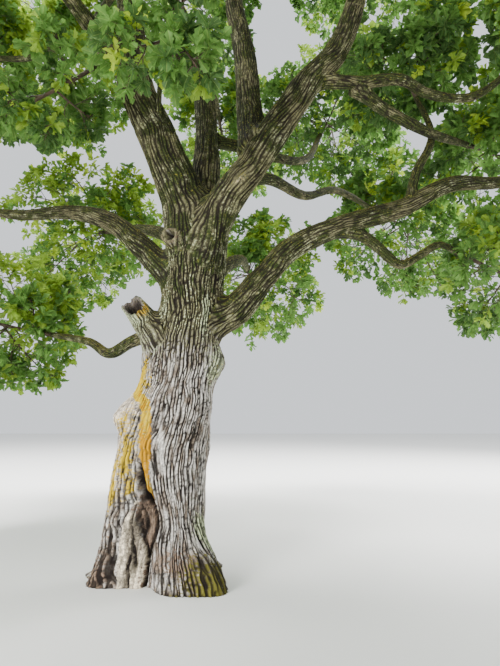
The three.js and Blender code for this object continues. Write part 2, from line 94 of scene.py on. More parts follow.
# Swellings and hollows: low and high bound the height, soft is how gently each starts and
# stops, turn moves its angle for each metre of height.
SWELLINGS = {
    "buttress": {"angle": 197, "spread": 30, "low": -0.9, "high": 1.83, "soft": 0.23, "out": 0.255},
    "buttress_burl": {"angle": 197, "spread": 13, "low": 1.5, "high": 1.74, "soft": 0.08,
                      "out": 0.07},
    "stub_shoulder": {"angle": 192, "spread": 38, "low": 1.85, "high": 2.62, "soft": 0.22,
                      "out": 0.115},
    "mossy_root": {"angle": 320, "spread": 23, "low": -0.9, "high": 0.27, "soft": 0.33,
                   "out": 0.43},
    "side_burl": {"angle": 352, "spread": 26, "low": 2.02, "high": 2.27, "soft": 0.15,
                  "out": 0.11},
    "fork_knot": {"angle": 226, "spread": 14, "low": 3.42, "high": 3.6, "soft": 0.07,
                  "out": 0.12},
    "fork_shoulder": {"angle": 180, "spread": 32, "low": 3.76, "high": 4.5, "soft": 0.25,
                      "out": 0.07},
    "hollow": {"angle": 262, "turn": -27, "spread": 10, "low": -0.9, "high": 0.82, "soft": 0.14,
               "out": -0.05},
    "dead_wood": {"angle": 236, "turn": -8, "spread": 8, "low": -0.9, "high": 0.7,
                  "soft": 0.12, "out": 0.035},
    "seam_above": {"angle": 222, "spread": 7, "low": 1.15, "high": 1.9, "soft": 0.2,
                   "out": -0.03},
    "root_shoulder": {"angle": 338, "spread": 17, "low": 0.12, "high": 0.52, "soft": 0.12,
                      "out": 0.05},
}

# Lines on the trunk that the relief and the colours follow, each a row of (height, angle): the
# crack at the column's edge, the slit at the right of the dead wood, the dead wood's left edge,
# the crease over the stub's shoulder, the seam that the orange lichen grows on, and a strip of
# smooth, pale bark beside it. The crack's width and depth are rows in metres, and the width of
# the band of lichen is a row in degrees.
CRACK_LINE = [(0, 252), (0.2, 251), (0.32, 253), (0.43, 259), (0.54, 264), (0.66, 257), (0.72, 251),
              (0.8, 243), (0.88, 234), (1.0, 230), (1.2, 226)]
CRACK_WIDTH = [(0.3, 0.009), (0.6, 0.011), (0.8, 0.02), (1.0, 0.022), (1.2, 0.006)]
CRACK_DEPTH = [(0, 0.03), (0.3, 0.04), (0.5, 0.05), (0.7, 0.08), (0.85, 0.12), (1.05, 0.1), (1.2, 0)]
SLIT_LINE = [(0, 252), (0.25, 251), (0.36, 246), (0.47, 240), (0.57, 236), (0.7, 233), (0.82, 231)]
DEAD_WOOD_LINE = [(0, 225), (0.2, 222), (0.4, 221), (0.55, 221.5), (0.66, 223.5), (0.8, 228.5)]
CREASE_LINE = [(2.1, 200), (2.19, 212.7), (2.27, 218.5), (2.34, 224), (2.41, 229.4), (2.57, 235.5)]
BAND_LINE = [(0.66, 257), (0.8, 247), (0.9, 241), (0.98, 236), (1.08, 233), (1.22, 231),
             (1.37, 229), (1.51, 228), (1.64, 226), (1.74, 222), (1.84, 207), (2.0, 203), (2.2, 210)]
BAND_WIDTH = [(0.66, 2), (0.8, 3), (0.98, 5.5), (1.22, 9), (1.45, 8.5), (1.7, 6.5), (2.05, 6)]
STRIP_LINE = [(0.95, 264), (1.03, 262), (1.17, 258), (1.37, 252), (1.56, 247)]

# Knots that the furrows part round, by angle, height and size, and patches of lichen, by
# strength, angle, height, and reach across and along in metres.
TRUNK_KNOTS = [(232, 3.5, 0.09), (200, 1.62, 0.11), (345, 2.14, 0.1)]
YELLOW_SPOTS = [(0.5, 203, 0.75, 0.06, 0.22), (0.4, 222, 0.92, 0.05, 0.12)]
PALE_SPOTS = [(1, 336, 0.46, 0.14, 0.19), (0.45, 306, 2.66, 0.05, 0.25), (0.45, 218, 2.33, 0.07, 0.14)]

# Limbs, in metres: where each starts inside its parent and the points it passes, its radius at
# the start and at the end, and the mass of foliage that it runs into.
LIMBS = [
    {"name": "left_leader", "from": "trunk", "radius": (0.27, 0.06), "collar": 0,
     "via": [(0.24, 0, 3.2), (0.14, -0.04, 3.9), (-0.14, -0.1, 4.62), (-0.5, -0.2, 5.5),
             (-0.62, -0.05, 6.6), (-0.95, 0.15, 8.2)],
     "mass": ((-1.7, 0.3, 11.7), 2.1)},
    {"name": "right_leader", "from": "trunk", "radius": (0.21, 0.05), "collar": 0,
     "via": [(0.3, -0.02, 3.1), (0.4, -0.16, 3.5), (0.58, -0.3, 3.86), (0.99, -0.4, 4.45),
             (1.45, -0.4, 5.16), (1.85, -0.33, 5.72), (2.13, -0.2, 6.5), (2.35, -0.2, 7.6)],
     "mass": ((3.2, -0.6, 10.9), 2.1)},
    {"name": "back_leader", "from": "trunk", "radius": (0.2, 0.05), "collar": 0,
     "via": [(0.28, 0.08, 3.2), (0.32, 0.2, 4.15), (0.3, 0.5, 5.25), (0.15, 0.9, 6.6)],
     "mass": ((-0.6, 3.2, 10.0), 2.0)},
    {"name": "middle_leader", "from": "right_leader", "radius": (0.17, 0.055),
     "via": [(0.92, -0.35, 4.4), (0.86, -0.05, 5.05), (0.8, 0.2, 6.03), (0.64, 0.5, 7.2),
             (0.7, 0.7, 8.6)],
     "mass": ((0.9, 1.1, 12.4), 2.1)},
    {"name": "left_limb", "from": "trunk", "radius": (0.175, 0.04), "taper": 1.35,
     "via": [(0.22, 0, 2.9), (-0.12, 0.02, 3.25), (-0.41, 0.1, 3.55), (-0.85, 0.3, 3.93),
             (-1.39, 0.5, 4.12), (-2.2, 0.8, 4.22)],
     "mass": ((-4.9, 1.0, 4.7), 1.9)},
    {"name": "low_left_limb", "from": "trunk", "radius": (0.1, 0.04),
     "via": [(0.12, 0.08, 2.45), (-0.25, 0.38, 2.56), (-0.6, 0.65, 2.5), (-0.92, 0.9, 2.4),
             (-1.3, 1.25, 2.6)],
     "mass": ((-2.9, 2.2, 3.0), 1.35)},
    {"name": "right_limb", "from": "trunk", "radius": (0.165, 0.055),
     "via": [(0.3, 0, 2.5), (0.73, 0, 2.79), (1.01, 0, 3.13), (1.33, 0, 3.47),
             (1.94, 0, 3.76), (2.62, 0.1, 3.99), (3.25, 0.2, 4.34), (3.97, 0.4, 4.48)],
     "mass": ((6.2, 0.8, 5.2), 1.8)},
    {"name": "broken_stub", "from": "trunk", "radius": (0.16, 0.115),
     "via": [(-0.05, -0.05, 2.3), (-0.22, -0.13, 2.55), (-0.44, -0.24, 2.83)]},
    {"name": "drooping_branch", "from": "right_limb", "radius": (0.075, 0.035),
     "via": [(1.8, 0, 3.7), (2.17, 0.12, 3.66), (2.38, 0.2, 3.54), (2.63, 0.3, 3.38),
             (2.92, 0.4, 3.53), (3.2, 0.5, 3.7)],
     "mass": ((4.3, 1.1, 3.5), 1.1)},
    {"name": "rising_branch", "from": "right_limb", "radius": (0.06, 0.035),
     "via": [(2.72, 0.1, 4.03), (2.86, 0.2, 4.5), (3.12, 0.4, 4.95), (3.3, 0.8, 5.5)],
     "mass": ((3.2, 1.6, 7.1), 1.3)},
    {"name": "upper_side_branch", "from": "right_leader", "radius": (0.08, 0.035),
     "via": [(1.6, -0.38, 5.3), (2.13, -0.3, 5.34), (2.61, -0.2, 5.45), (3.0, 0, 5.41),
             (3.63, 0.2, 5.52)],
     "mass": ((5.5, 0.5, 7.1), 1.6)},
    {"name": "lower_side_branch", "from": "upper_side_branch", "radius": (0.08, 0.04),
     "via": [(2.0, -0.3, 5.3), (2.44, -0.05, 5.18), (2.8, 0.15, 5.12), (3.11, 0.35, 5.12)],
     "mass": ((5.0, 2.4, 6.0), 1.6)},
    {"name": "leader_side_branch", "from": "left_leader", "radius": (0.11, 0.045),
     "via": [(-0.5, -0.2, 5.5), (-0.72, -0.26, 5.78), (-0.95, -0.5, 5.95), (-1.25, -0.85, 6.2)],
     "mass": ((-3.4, -2.2, 7.6), 1.9)},
    {"name": "upper_left_branch", "from": "left_leader", "radius": (0.065, 0.035),
     "via": [(-0.58, -0.1, 5.95), (-1.0, 0.05, 6.2), (-1.54, 0.3, 6.31), (-2.2, 0.7, 6.45)],
     "mass": ((-4.1, 1.5, 7.1), 1.8)},
    {"name": "back_right_branch", "from": "back_leader", "radius": (0.09, 0.04),
     "via": [(0.32, 0.22, 4.25), (0.7, 0.4, 4.45), (1.08, 0.75, 4.7), (1.67, 1.5, 4.82),
             (2.19, 2.0, 5.15)],
     "mass": ((4.1, 4.4, 5.5), 1.8)},
    {"name": "back_high_branch", "from": "back_leader", "radius": (0.08, 0.04),
     "via": [(0.3, 0.48, 5.1), (0.75, 0.75, 5.15), (1.04, 1.1, 5.25), (1.68, 1.9, 5.6)],
     "mass": ((2.6, 4.6, 8.0), 1.9)},
    {"name": "back_low_limb", "from": "trunk", "radius": (0.12, 0.045),
     "via": [(0.23, 0.05, 2.8), (0.42, 0.8, 3.4), (0.7, 2.0, 4.0)],
     "mass": ((0.9, 5.6, 4.8), 1.9)},
    {"name": "back_left_limb", "from": "trunk", "radius": (0.12, 0.045),
     "via": [(0.24, 0.05, 3.2), (-0.1, 0.8, 3.85), (-0.8, 2.0, 4.5)],
     "mass": ((-2.6, 5.0, 5.6), 1.9)},
    {"name": "front_left_branch", "from": "leader_side_branch", "radius": (0.06, 0.035),
     "via": [(-1.62, -1.08, 6.44), (-2.0, -1.9, 6.35), (-2.5, -2.6, 6.0)],
     "mass": ((-3.7, -3.8, 4.9), 1.6)},
    {"name": "front_branch", "from": "left_leader", "radius": (0.09, 0.045),
     "via": [(-0.64, -0.04, 6.7), (-0.66, -1.1, 7.2), (-0.5, -2.3, 7.3)],
     "mass": ((-0.3, -5.0, 7.4), 1.9)},
    {"name": "front_right_branch", "from": "right_leader", "radius": (0.08, 0.04),
     "via": [(2.1, -0.22, 6.4), (2.35, -1.1, 6.7), (2.7, -2.0, 6.8)],
     "mass": ((3.4, -4.0, 6.9), 1.9)},
    {"name": "right_front_branch", "from": "right_leader", "radius": (0.08, 0.04),
     "via": [(2.28, -0.2, 7.2), (3.0, -0.7, 7.5), (3.7, -1.2, 7.8)],
     "mass": ((5.4, -2.3, 8.4), 1.8)},
    {"name": "top_left_branch", "from": "left_leader", "radius": (0.08, 0.04),
     "via": [(-0.9, 0.12, 7.95), (-1.5, -0.05, 8.7), (-2.2, -0.25, 9.2)],
     "mass": ((-4.1, -0.7, 10.0), 1.8)},
    {"name": "top_front_branch", "from": "left_leader", "radius": (0.08, 0.04),
     "via": [(-0.93, 0.14, 8.1), (-0.55, -0.6, 8.6), (-0.15, -1.1, 9.1)],
     "mass": ((0.5, -2.7, 10.4), 1.9)},
    {"name": "top_back_branch", "from": "middle_leader", "radius": (0.09, 0.045),
     "via": [(0.68, 0.65, 8.2), (1.3, 1.2, 8.8), (2.0, 1.9, 9.4)],
     "mass": ((3.3, 3.1, 10.7), 1.9)},
    {"name": "back_top_branch", "from": "back_leader", "radius": (0.08, 0.04),
     "via": [(0.08, 1.1, 6.9), (0.15, 2.2, 7.3), (0.2, 3.2, 7.6)],
     "mass": ((0.2, 5.8, 8.3), 1.8)},
    {"name": "left_back_branch", "from": "left_leader", "radius": (0.08, 0.04),
     "via": [(-0.76, 0.05, 7.3), (-1.2, 1.0, 7.7), (-1.9, 2.0, 8.0)],
     "mass": ((-3.2, 3.8, 8.6), 1.9)},
    {"name": "far_right_branch", "from": "right_leader", "radius": (0.075, 0.04),
     "via": [(2.38, -0.22, 7.8), (3.1, 0.25, 8.2), (3.9, 0.7, 8.6)],
     "mass": ((5.8, 1.7, 9.5), 1.8)},
    {"name": "front_twig", "from": "left_leader", "radius": (0.035, 0.025),
     "via": [(-0.2, -0.12, 4.8), (-0.12, -0.5, 5.15), (0.0, -0.8, 5.25)],
     "mass": ((0.15, -1.5, 4.9), 0.8)},
    {"name": "left_twig", "from": "left_leader", "radius": (0.035, 0.025),
     "via": [(-0.42, -0.18, 5.25), (-0.62, -0.42, 5.45), (-0.85, -0.52, 5.35)],
     "mass": ((-1.3, -0.75, 4.85), 0.85)},
]
ENTRY_SHARE = 0.82  # how far from its middle, in radii, a limb enters its mass
COLLAR_OUT = 0.3  # how much wider a limb is at its root, and over how many radii
COLLAR_LENGTH = 1.6
STOUT_LIMB = 0.125  # radius from which a limb gets the finer grid
STOUT_RING = 0.032  # metres from one ring of a limb's grid to the next
SLIM_RING = 0.045
LIMB_BARK = 1.12  # how much coarser than the trunk's the bark of the stoutest limbs is
LIMB_KNOTS = {"right_leader": ((0.72, -0.5, 4.06), 0.1)}  # place and size
NO_KNOT = ((0, 0, -9), 1)  # so far below the ground that it doesn't show
STUB_DEPTH = 0.26  # how far the broken stub is hollow

# Across one ridge of bark, from furrow to furrow: share of its width, and height from -1 to 0.
TRUNK_RIDGE = ((0.0, -1.0), (0.17, -0.6), (0.39, -0.05), (0.63, 0.0), (0.84, -0.6))
STOUT_RIDGE = ((0.0, -1.0), (0.2, -0.45), (0.5, 0.0), (0.8, -0.45))
SLIM_RIDGE = ((0.0, -1.0), (0.33, -0.15), (0.67, -0.15))
WIDE_RIDGE = (0.042, 0.07)  # metres: a ridge begins to split in two, and is split

# Foliage: the source's stem and golden-angle twigs, then two finer orders of side shoots.
GOLDEN_ANGLE = math.pi * (3 - math.sqrt(5))
MASS_FLATNESS = 0.86
CELL_MARGIN = 0.012
STEM_REACH = 0.28
STEM_BEND = 0.4
STEM_ROOT_SHARE = 0.9
STEM_END_RADIUS = 0.016
FIRST_TWIG = 0.12
LAST_TWIG = 0.98
TWIG_SCATTER = 0.6
SEED = 20261

# Side twigs and the shoots on them: the shares of the parent that they grow between, their
# lean in radians, their length over the parent's, and how much they turn up.
SIDE_TWIGS = {"along": (0.18, 1.0), "lean": (0.675, 1.08), "length": 0.55, "lift": 0.12}
SHOOTS = {"along": (0.2, 1.0), "lean": (0.6, 0.96), "length": 0.6, "lift": 0.15}
# Tubes of the main twigs, the side twigs and the shoots: radius at the root and at the end,
# rings and sides.
TWIG_TUBES = [(0.016, 0.007, 6, 4), (0.0075, 0.004, 4, 3), (0.004, 0.0022, 2, 3)]
STEM_RINGS = 9
STEM_SIDES = 7
LEAST_TWIG = 0.15  # metres: shorter ones are left out
LEAST_SHOOT = 0.07
SHOOT_CLEARANCE = 0.06  # from a limb to a leafy shoot's end
BOX_MARGIN = 0.02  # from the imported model's box to the twigs' middle lines

# One leaf, along its length and across: base, tip and a point on the midrib, then the lobes and
# the sinuses between them on one side, and the triangles of that side. Masses close to the
# photograph's viewpoint have the full leaf and the others a plain one, with two lobes a side.
FULL_LEAF = {
    "midrib": [(0.0, 0.0), (1.0, 0.0), (0.45, 0.0)],
    "edge": [(0.24, 0.15), (0.34, 0.10), (0.52, 0.30), (0.63, 0.17), (0.80, 0.27)],
    "half": [(0, 3, 4), (0, 4, 2), (4, 5, 2), (5, 6, 2), (6, 1, 2), (6, 7, 1)],
}
PLAIN_LEAF = {
    "midrib": [(0.0, 0.0), (1.0, 0.0)],
    "edge": [(0.3, 0.2), (0.43, 0.11), (0.7, 0.31)],
    "half": [(0, 2, 3), (0, 3, 1), (3, 4, 1)],
}
FULL_LEAF_WITHIN = 8.2  # metres from the viewpoint to the middle of a mass
LEAF_FOLD = 0.25
LEAF_CURL = 0.3

# Leaf tones from the darkest to the lightest: one green painted as shaded, half lit, lit and sunlit
# copies, dealt out by where each spray hangs in the crown.
LEAF_TONES = ["leaf_shaded", "leaf_summer", "leaf_fresh", "leaf_sunlit"]
TONE_LIMITS = (0.16, 0.58, 1.06)  # amount of light at which one tone gives way to the next
SUNLIT_SPRAYS = 0.06  # share of the sprays that the sun reaches wherever they are
CROWN_MIDDLE = (0.4, 0.3, 6.5)  # of the rounded space that the whole crown fills
CROWN_REACH = (6.8, 6.8, 7.2)

# Sockets of the Mix node for colours, whose names it also gives to those for other kinds.
MIX_SHARE = 0
MIX_BELOW = 6
MIX_ABOVE = 7
MIX_RESULT = 2

# The studio: each soft box shines from its place at its target. The camera has the
# photograph's viewpoint, at eye height.
SOFT_BOXES = {
    "key": {"place": (-8.5, -11, 5), "target": (0.1, 0, 2.6), "size": 6},
    "top": {"place": (-8, 5, 24), "target": (0, 0, 6), "size": 10},
    "back": {"place": (14, 8, 15), "target": (3, 0, 6), "size": 8},
}
FLOOR_REACH = 60  # metres from the middle to each edge
CAMERA_PLACE = (0.86, -5.4, 1.55)
CAMERA_TILT = 10  # degrees above level
SENSOR_WIDTH = 36  # millimetres, as is the lens's focal length
LENS_LENGTH = 27.03
VIEW_REACH = 300  # metres, past the floor's far edge


def linear(colour):
    """An sRGB hex colour as three linear numbers."""
    value = np.array([int(colour[i : i + 2], 16) for i in (1, 3, 5)]) / 255
    return tuple(np.where(value <= 0.04045, value / 12.92, ((value + 0.055) / 1.055) ** 2.4))


def colour_property(name, description, colour):
    """A colour setting, from an sRGB hex value."""
    return bpy.props.FloatVectorProperty(
        name=name, description=description, default=linear(colour), subtype="COLOR",
        size=3, min=0, max=1)


def number_property(name, description, value, least=0.0, unit="NONE"):
    """A setting that is a length, a power or a plain number."""
    return bpy.props.FloatProperty(
        name=name, description=description, default=value, min=least, unit=unit)


def count_property(name, description, value):
    """A setting that is a whole number of things."""
    return bpy.props.IntProperty(name=name, description=description, default=value, min=1)


class TreeSizes(bpy.types.PropertyGroup):
    """Sizes of the bark's relief, the twigs and the leaves."""

    furrow_spacing: number_property(
        "Furrow spacing", "Distance between furrows of the trunk's bark", 0.034, 0.01, "LENGTH")
    ridge_length: number_property(
        "Ridge length", "How far a ridge runs before two furrows meet", 0.12, 0.02, "LENGTH")
    furrow_depth: number_property(
        "Furrow depth", "Depth of the trunk's furrows", 0.019, 0, "LENGTH")
    fillet: number_property(
        "Fillet", "Rounding where a limb leaves its parent, over its radius", 0.55, 0.05)
    twigs_per_metre: number_property(
        "Twigs per metre", "Main twigs for each metre of a mass's radius", 7.5, 1)
    side_twigs: count_property("Side twigs", "Side twigs on each main twig", 7)
    shoots: count_property("Shoots", "Leafy shoots on each side twig", 5)
    leaves: count_property("Leaves", "Leaves on each shoot", 10)
    near_leaf: number_property(
        "Near leaf length", "Length of a full-grown leaf near the fork", 0.14, 0.02, "LENGTH")
    far_leaf: number_property(
        "Far leaf length", "Length of a leaf in the rest of the crown", 0.17, 0.02, "LENGTH")


class TreeColours(bpy.types.PropertyGroup):
    """Colours of the bark, what grows on it, and the leaves."""

    ridge: colour_property("Ridge", "Weathered face of the bark's ridges", "#dbd5cc")
    ridge_dark: colour_property("Darker ridge", "Damp and older ridges", "#8b7d6f")
    # Colour of the painted shade in the furrows, cuts and hollows.
    furrow: colour_property("Furrow", "Bottom of the furrows", "#18120e")
    warm_bark: colour_property("Warm bark", "Brown bark and rot at the foot", "#86705e")
    # The crown bark is partly the boughs' greener bark and partly painted shade under the leaves. The
    # shaded bough colour is painted shade on the boughs' upper sides, tinted with the moss's green.
    crown_bark: colour_property("Crown bark", "Darker, greener bark of the boughs", "#7a7656")
    crown_shade: colour_property("Shaded bough", "Damp, dark upper side of the boughs", "#38431d")
    orange_lichen: colour_property("Orange lichen", "Lichen on the sunny seam", "#c08a04")
    yellow_lichen: colour_property("Yellow lichen", "Speckles on the buttress", "#c8a920")
    pale_lichen: colour_property("Pale lichen", "Grey-green crusts", "#bfc7a0")
    bare_burl: colour_property("Bare burl", "Pinkish, worn bark of the buttress", "#e9d9c4")
    moss: colour_property("Moss", "Moss on the root and the boughs", "#6d6829")
    dead_wood: colour_property("Dead wood", "Bare wood in the hollow", "#ecdcc0")
    # The twigs' bark is darker than young bark's own grey-brown: painted shade, as of twigs seen
    # against the light.
    twig: colour_property("Twig", "Bark of the thin twigs", "#33291e")
    # The four leaf colours are painted light and shade on one green: shaded deep in the crown, half
    # lit for most leaves, lit near the outside, and sunlit where the sun comes through.
    leaf_shaded: colour_property("Shaded leaf", "Leaves deep in the crown", "#4b6c37")
    leaf_summer: colour_property("Summer leaf", "Most of the leaves", "#648c41")
    leaf_fresh: colour_property("Fresh leaf", "Leaves near the outside", "#86a43a")
    leaf_sunlit: colour_property("Sunlit leaf", "Leaves that the light comes through", "#aec63e")
    midrib: colour_property("Midrib", "Pale rib along a leaf", "#a9bb62")


class StudioSettings(bpy.types.PropertyGroup):
    """The plain studio: floor, background and soft lights."""

    floor: colour_property("Floor", "Plain pale floor", "#efeeea")
    background: colour_property("Background", "Plain pale surroundings", "#eef3f8")
    background_strength: number_property("Background strength", "Light from all round", 1.2)
    key_power: number_property(
        "Key power", "Soft box at the front left", 3600, unit="POWER")
    top_power: number_property(
        "Top power", "Soft box over the crown", 16000, unit="POWER")
    back_power: number_property(
        "Back power", "Soft box behind the crown's right side", 11000, unit="POWER")


def smooth(low, high, value):
    """0 up to low, 1 from high, and an S curve between."""
    share = np.clip((value - low) / (high - low), 0, 1)
    return share * share * (3 - 2 * share)


def bell(offset, width):
    """1 where the offset is 0, falling off like a bell."""
    return np.exp(-((offset / width) ** 2))


def turn_between(a, b):
    """The smallest turn in degrees from b to a."""
    return (a - b + 540) % 360 - 180


def unit(vectors):
    """The same directions, one long."""
    return vectors / np.maximum(np.linalg.norm(vectors, axis=-1, keepdims=True), 1e-9)


def wave(across, along, columns, seed):
    """Soft noise from -1 to 1: seeded numbers on a lattice, blended along S curves, that
    repeats after the given number of columns."""
    table = np.random.default_rng(seed).uniform(-1, 1, (97, columns))
    column, row = np.floor(across).astype(int), np.floor(along).astype(int)
    to_right, to_next = smooth(0, 1, across - column), smooth(0, 1, along - row)

    def corner(right, up):
        return table[(row + up) % 97, (column + right) % columns]

    low = corner(0, 0) * (1 - to_right) + corner(1, 0) * to_right
    high = corner(0, 1) * (1 - to_right) + corner(1, 1) * to_right
    return low * (1 - to_next) + high * to_next


def bark_net(girth, spacing, along, length, profile, seed):
    """Oak bark: ridges between furrows that wind along a limb, part and meet again. A furrow is
    a line that sways with its neighbours and swings against them by turns, so that a ridge is
    pinched where its two furrows meet and wide in between. The grid's columns follow the
    furrows, which keeps them sharp, and each ridge has the profile's height across. Gives the
    turn round the limb, the height from -1 to 0, and a tone for each ridge."""
    ridges = 2 * max(4, round(girth / spacing / 2))
    row, line = np.meshgrid(along / length, np.arange(ridges), indexing="ij")

    def noise(groups, rows, number):
        return wave(line * (groups / ridges), row * rows, groups, seed + number)

    swing = np.where(line % 2, -1, 1) * np.tanh(2.4 * noise(max(4, ridges // 2), 1, 0))
    place = line + 0.36 * swing + 0.11 * noise(ridges, 1.5, 1) + 0.07 * noise(ridges, 4, 7)
    place = place + 1.3 * noise(5, 0.3, 2) + 0.7 * noise(max(4, ridges // 6), 0.8, 3)
    width = np.roll(place, -1, axis=1) - place
    width[:, -1] += ridges
    width = np.maximum(width, 0.14)
    width = width * ridges / width.sum(1, keepdims=True)
    start = place[:, :1] + np.cumsum(width, 1) - width
    depth = 0.78 + 0.42 * noise(ridges, 0.9, 4)
    next_depth = np.roll(depth, -1, axis=1)
    full = smooth(0.1, 0.72, width)
    broken = np.random.default_rng(seed + 5).random(row.shape) < 0.13
    tone = 0.5 + 0.5 * noise(ridges, 1.3, 6)
    turn, relief, tones = [], [], []
    for share, level in profile:
        turn.append((start + share * width) / ridges)
        fade = depth + (next_depth - depth) * share
        relief.append(((1 + level) * full - 1) * fade - 0.42 * broken * (level > -0.4))
        tones.append(tone)
    return tuple(np.stack(each, 2).reshape(len(along), -1) for each in (turn, relief, tones))


def round_knot(across, along, girth, knot):
    """Moves the bark's columns out from a knot, most at its edge, so that the ridges part
    before it and close again behind it."""
    knot_across, knot_along, size = knot
    right = (across - knot_across + girth / 2) % girth - girth / 2
    around = np.hypot(right, (along - knot_along) / 1.5)
    push = 0.6 * size * right / (around + 0.5 * size) * np.exp(-((around / (1.5 * size)) ** 2))
    return across + push


def line_at(line, height):
    """The value at a height of a line's row of (height, value)."""
    heights, values = zip(*line)
    return np.interp(height, heights, values)


def trunk_radius(angle, height):
    """Radius of the source's trunk: a taper, a bell for each root that fades upwards, a bell
    for each swelling between its two heights, and a rounded top."""
    radius = TRUNK_FOOT_RADIUS - (TRUNK_FOOT_RADIUS - TRUNK_TOP_RADIUS) * height / TRUNK_HEIGHT
    for root in ROOTS:
        off = turn_between(angle, root["angle"])
        radius = radius + root["reach"] * bell(off, root["spread"]) * np.exp(-height / root["fade"])
    for part in SWELLINGS.values():
        off = turn_between(angle, part["angle"] + part.get("turn", 0) * height)
        started, stopped = (smooth(part[edge] - part["soft"], part[edge] + part["soft"], height)
                            for edge in ("low", "high"))
        radius = radius + part["out"] * bell(off, part["spread"]) * started * (1 - stopped)
    dome = np.clip((height - TRUNK_HEIGHT + CROTCH_ROUNDING) / CROTCH_ROUNDING, 0, 1)
    return radius * np.maximum(CROTCH_TIP_SHARE, np.sqrt(1 - dome**2))


def crown_share(height):
    """How much the bark has the boughs' greener colours and the painted shade under the crown, which
    fade in past the stub.
    """
    return smooth(1.6, 2.9, height)


def trunk_gap(points):
    """How far points lie outside the trunk: their distance from its axis less its radius."""
    height = np.clip(points[..., 2], 0, TRUNK_HEIGHT)
    off = points[..., 0] - TRUNK_FOOT_SHIFT - TRUNK_LEAN * height
    angle = np.degrees(np.arctan2(points[..., 1], off))
    gap = np.hypot(off, points[..., 1]) - trunk_radius(angle, height)
    above = points[..., 2] - TRUNK_HEIGHT
    return np.where(above > 0, np.hypot(np.maximum(gap, 0), above), gap)


def curve_through(points, count):
    """A centripetal Catmull-Rom curve, as in the source: a cubic between each two points, whose
    slopes come from the neighbours at steps of the square root of their distance. Gives the
    curve at even steps of length, and its length."""
    points = np.asarray(points, float)
    row = np.vstack([2 * points[0] - points[1], points, 2 * points[-1] - points[-2]])
    step = np.linalg.norm(np.diff(row, axis=0), axis=1)[:, None] ** 0.5
    a, b, c, d = row[:-3], row[1:-2], row[2:-1], row[3:]
    before, here, after = step[:-2], step[1:-1], step[2:]
    leaving = ((b - a) / before - (c - a) / (before + here) + (c - b) / here) * here
    arriving = ((c - b) / here - (d - b) / (here + after) + (d - c) / after) * here
    t = np.linspace(0, 1, 60, endpoint=False)[:, None, None]
    square = 3 * (c - b) - 2 * leaving - arriving
    cube = 2 * (b - c) + leaving + arriving
    fine = (b + leaving * t + square * t**2 + cube * t**3).transpose(1, 0, 2).reshape(-1, 3)
    fine = np.vstack([fine, c[-1]])
    travelled = np.concatenate([[0], np.cumsum(np.linalg.norm(np.diff(fine, axis=0), axis=1))])
    even = np.linspace(0, travelled[-1], count)
    path = np.stack([np.interp(even, travelled, fine[:, k]) for k in range(3)], axis=1)
    return path, travelled[-1]


def frames_along(path):
    """The headings along a path and two directions across it. The first leans on the one
    direction that the path follows least, so the frame doesn't spin."""
    heading = unit(np.gradient(path, axis=0))
    still = np.linalg.svd(heading)[2][-1]
    side = unit(np.cross(still, heading))
    return heading, side, np.cross(heading, side)


def limb_points(limb):
    """The points that a limb passes, with the one where it enters its mass."""
    points = [np.array(point, float) for point in limb["via"]]
    if "mass" in limb:
        middle, radius = np.array(limb["mass"][0]), limb["mass"][1]
        points.append(middle + unit(points[-1] - middle) * radius * ENTRY_SHARE)
    return points


def limb_radius(limb, share, length):
    """Radius along a limb: a power of what is left of its length, and a collar that fades."""
    root, tip = limb["radius"]
    flare = limb.get("collar", COLLAR_OUT) * root
    collar = flare * np.exp(-share * length / (COLLAR_LENGTH * root))
    return tip + (root - tip) * (1 - share) ** limb.get("taper", 1) + collar


def limb_skeleton(limb, count=70):
    """A limb's middle line and radius, at even steps."""
    path, length = curve_through(limb_points(limb), count)
    return path, limb_radius(limb, np.linspace(0, 1, count), length)


def limb_gap(points, skeleton):
    """How far points lie outside a limb: the least distance from its middle line less its
    radius there."""
    path, radius = skeleton
    flat = points.reshape(-1, 3)
    square = (flat**2).sum(1)[:, None] - 2 * flat @ path.T + (path**2).sum(1)
    return (np.sqrt(np.maximum(square, 0)) - radius).min(1).reshape(points.shape[:-1])


def fillet_at_root(middle, out, radius, gap, size):
    """How much further out a limb's surface lies beside its parent: a quarter circle between
    the two surfaces, found by moving each point outwards until it is on that circle. It fades
    again deep inside the parent."""
    extra = np.zeros(radius.shape)
    for _ in range(14):
        near = gap(middle + out * (radius + extra)[..., None])
        inward = np.clip(size - np.abs(near), 0, size)
        extra += 0.5 * (size - np.sqrt(size**2 - inward**2) - extra)
    return extra


def ring_quads(rings, columns):
    """Quads between rings of points."""
    ring, column = np.arange(rings - 1)[:, None] * columns, np.arange(columns)
    after = (column + 1) % columns
    quads = [ring + column, ring + after, ring + columns + after, ring + columns + column]
    return np.stack(quads, -1).reshape(-1, 4)


def end_fans(rings, columns):
    """Triangles from each end ring of a limb to one more point at its middle."""
    column = np.arange(columns)
    after = (column + 1) % columns
    last = (rings - 1) * columns
    middle = np.full(columns, rings * columns)
    start = np.stack([middle, after, column], 1)
    end = np.stack([middle + 1, last + column, last + after], 1)
    return np.vstack([start, end])


def surface_normals(points):
    """Outward normals of a closed ring grid, from its two directions of travel."""
    around = np.roll(points, -1, axis=1) - np.roll(points, 1, axis=1)
    return unit(np.cross(around, np.gradient(points, axis=0)))


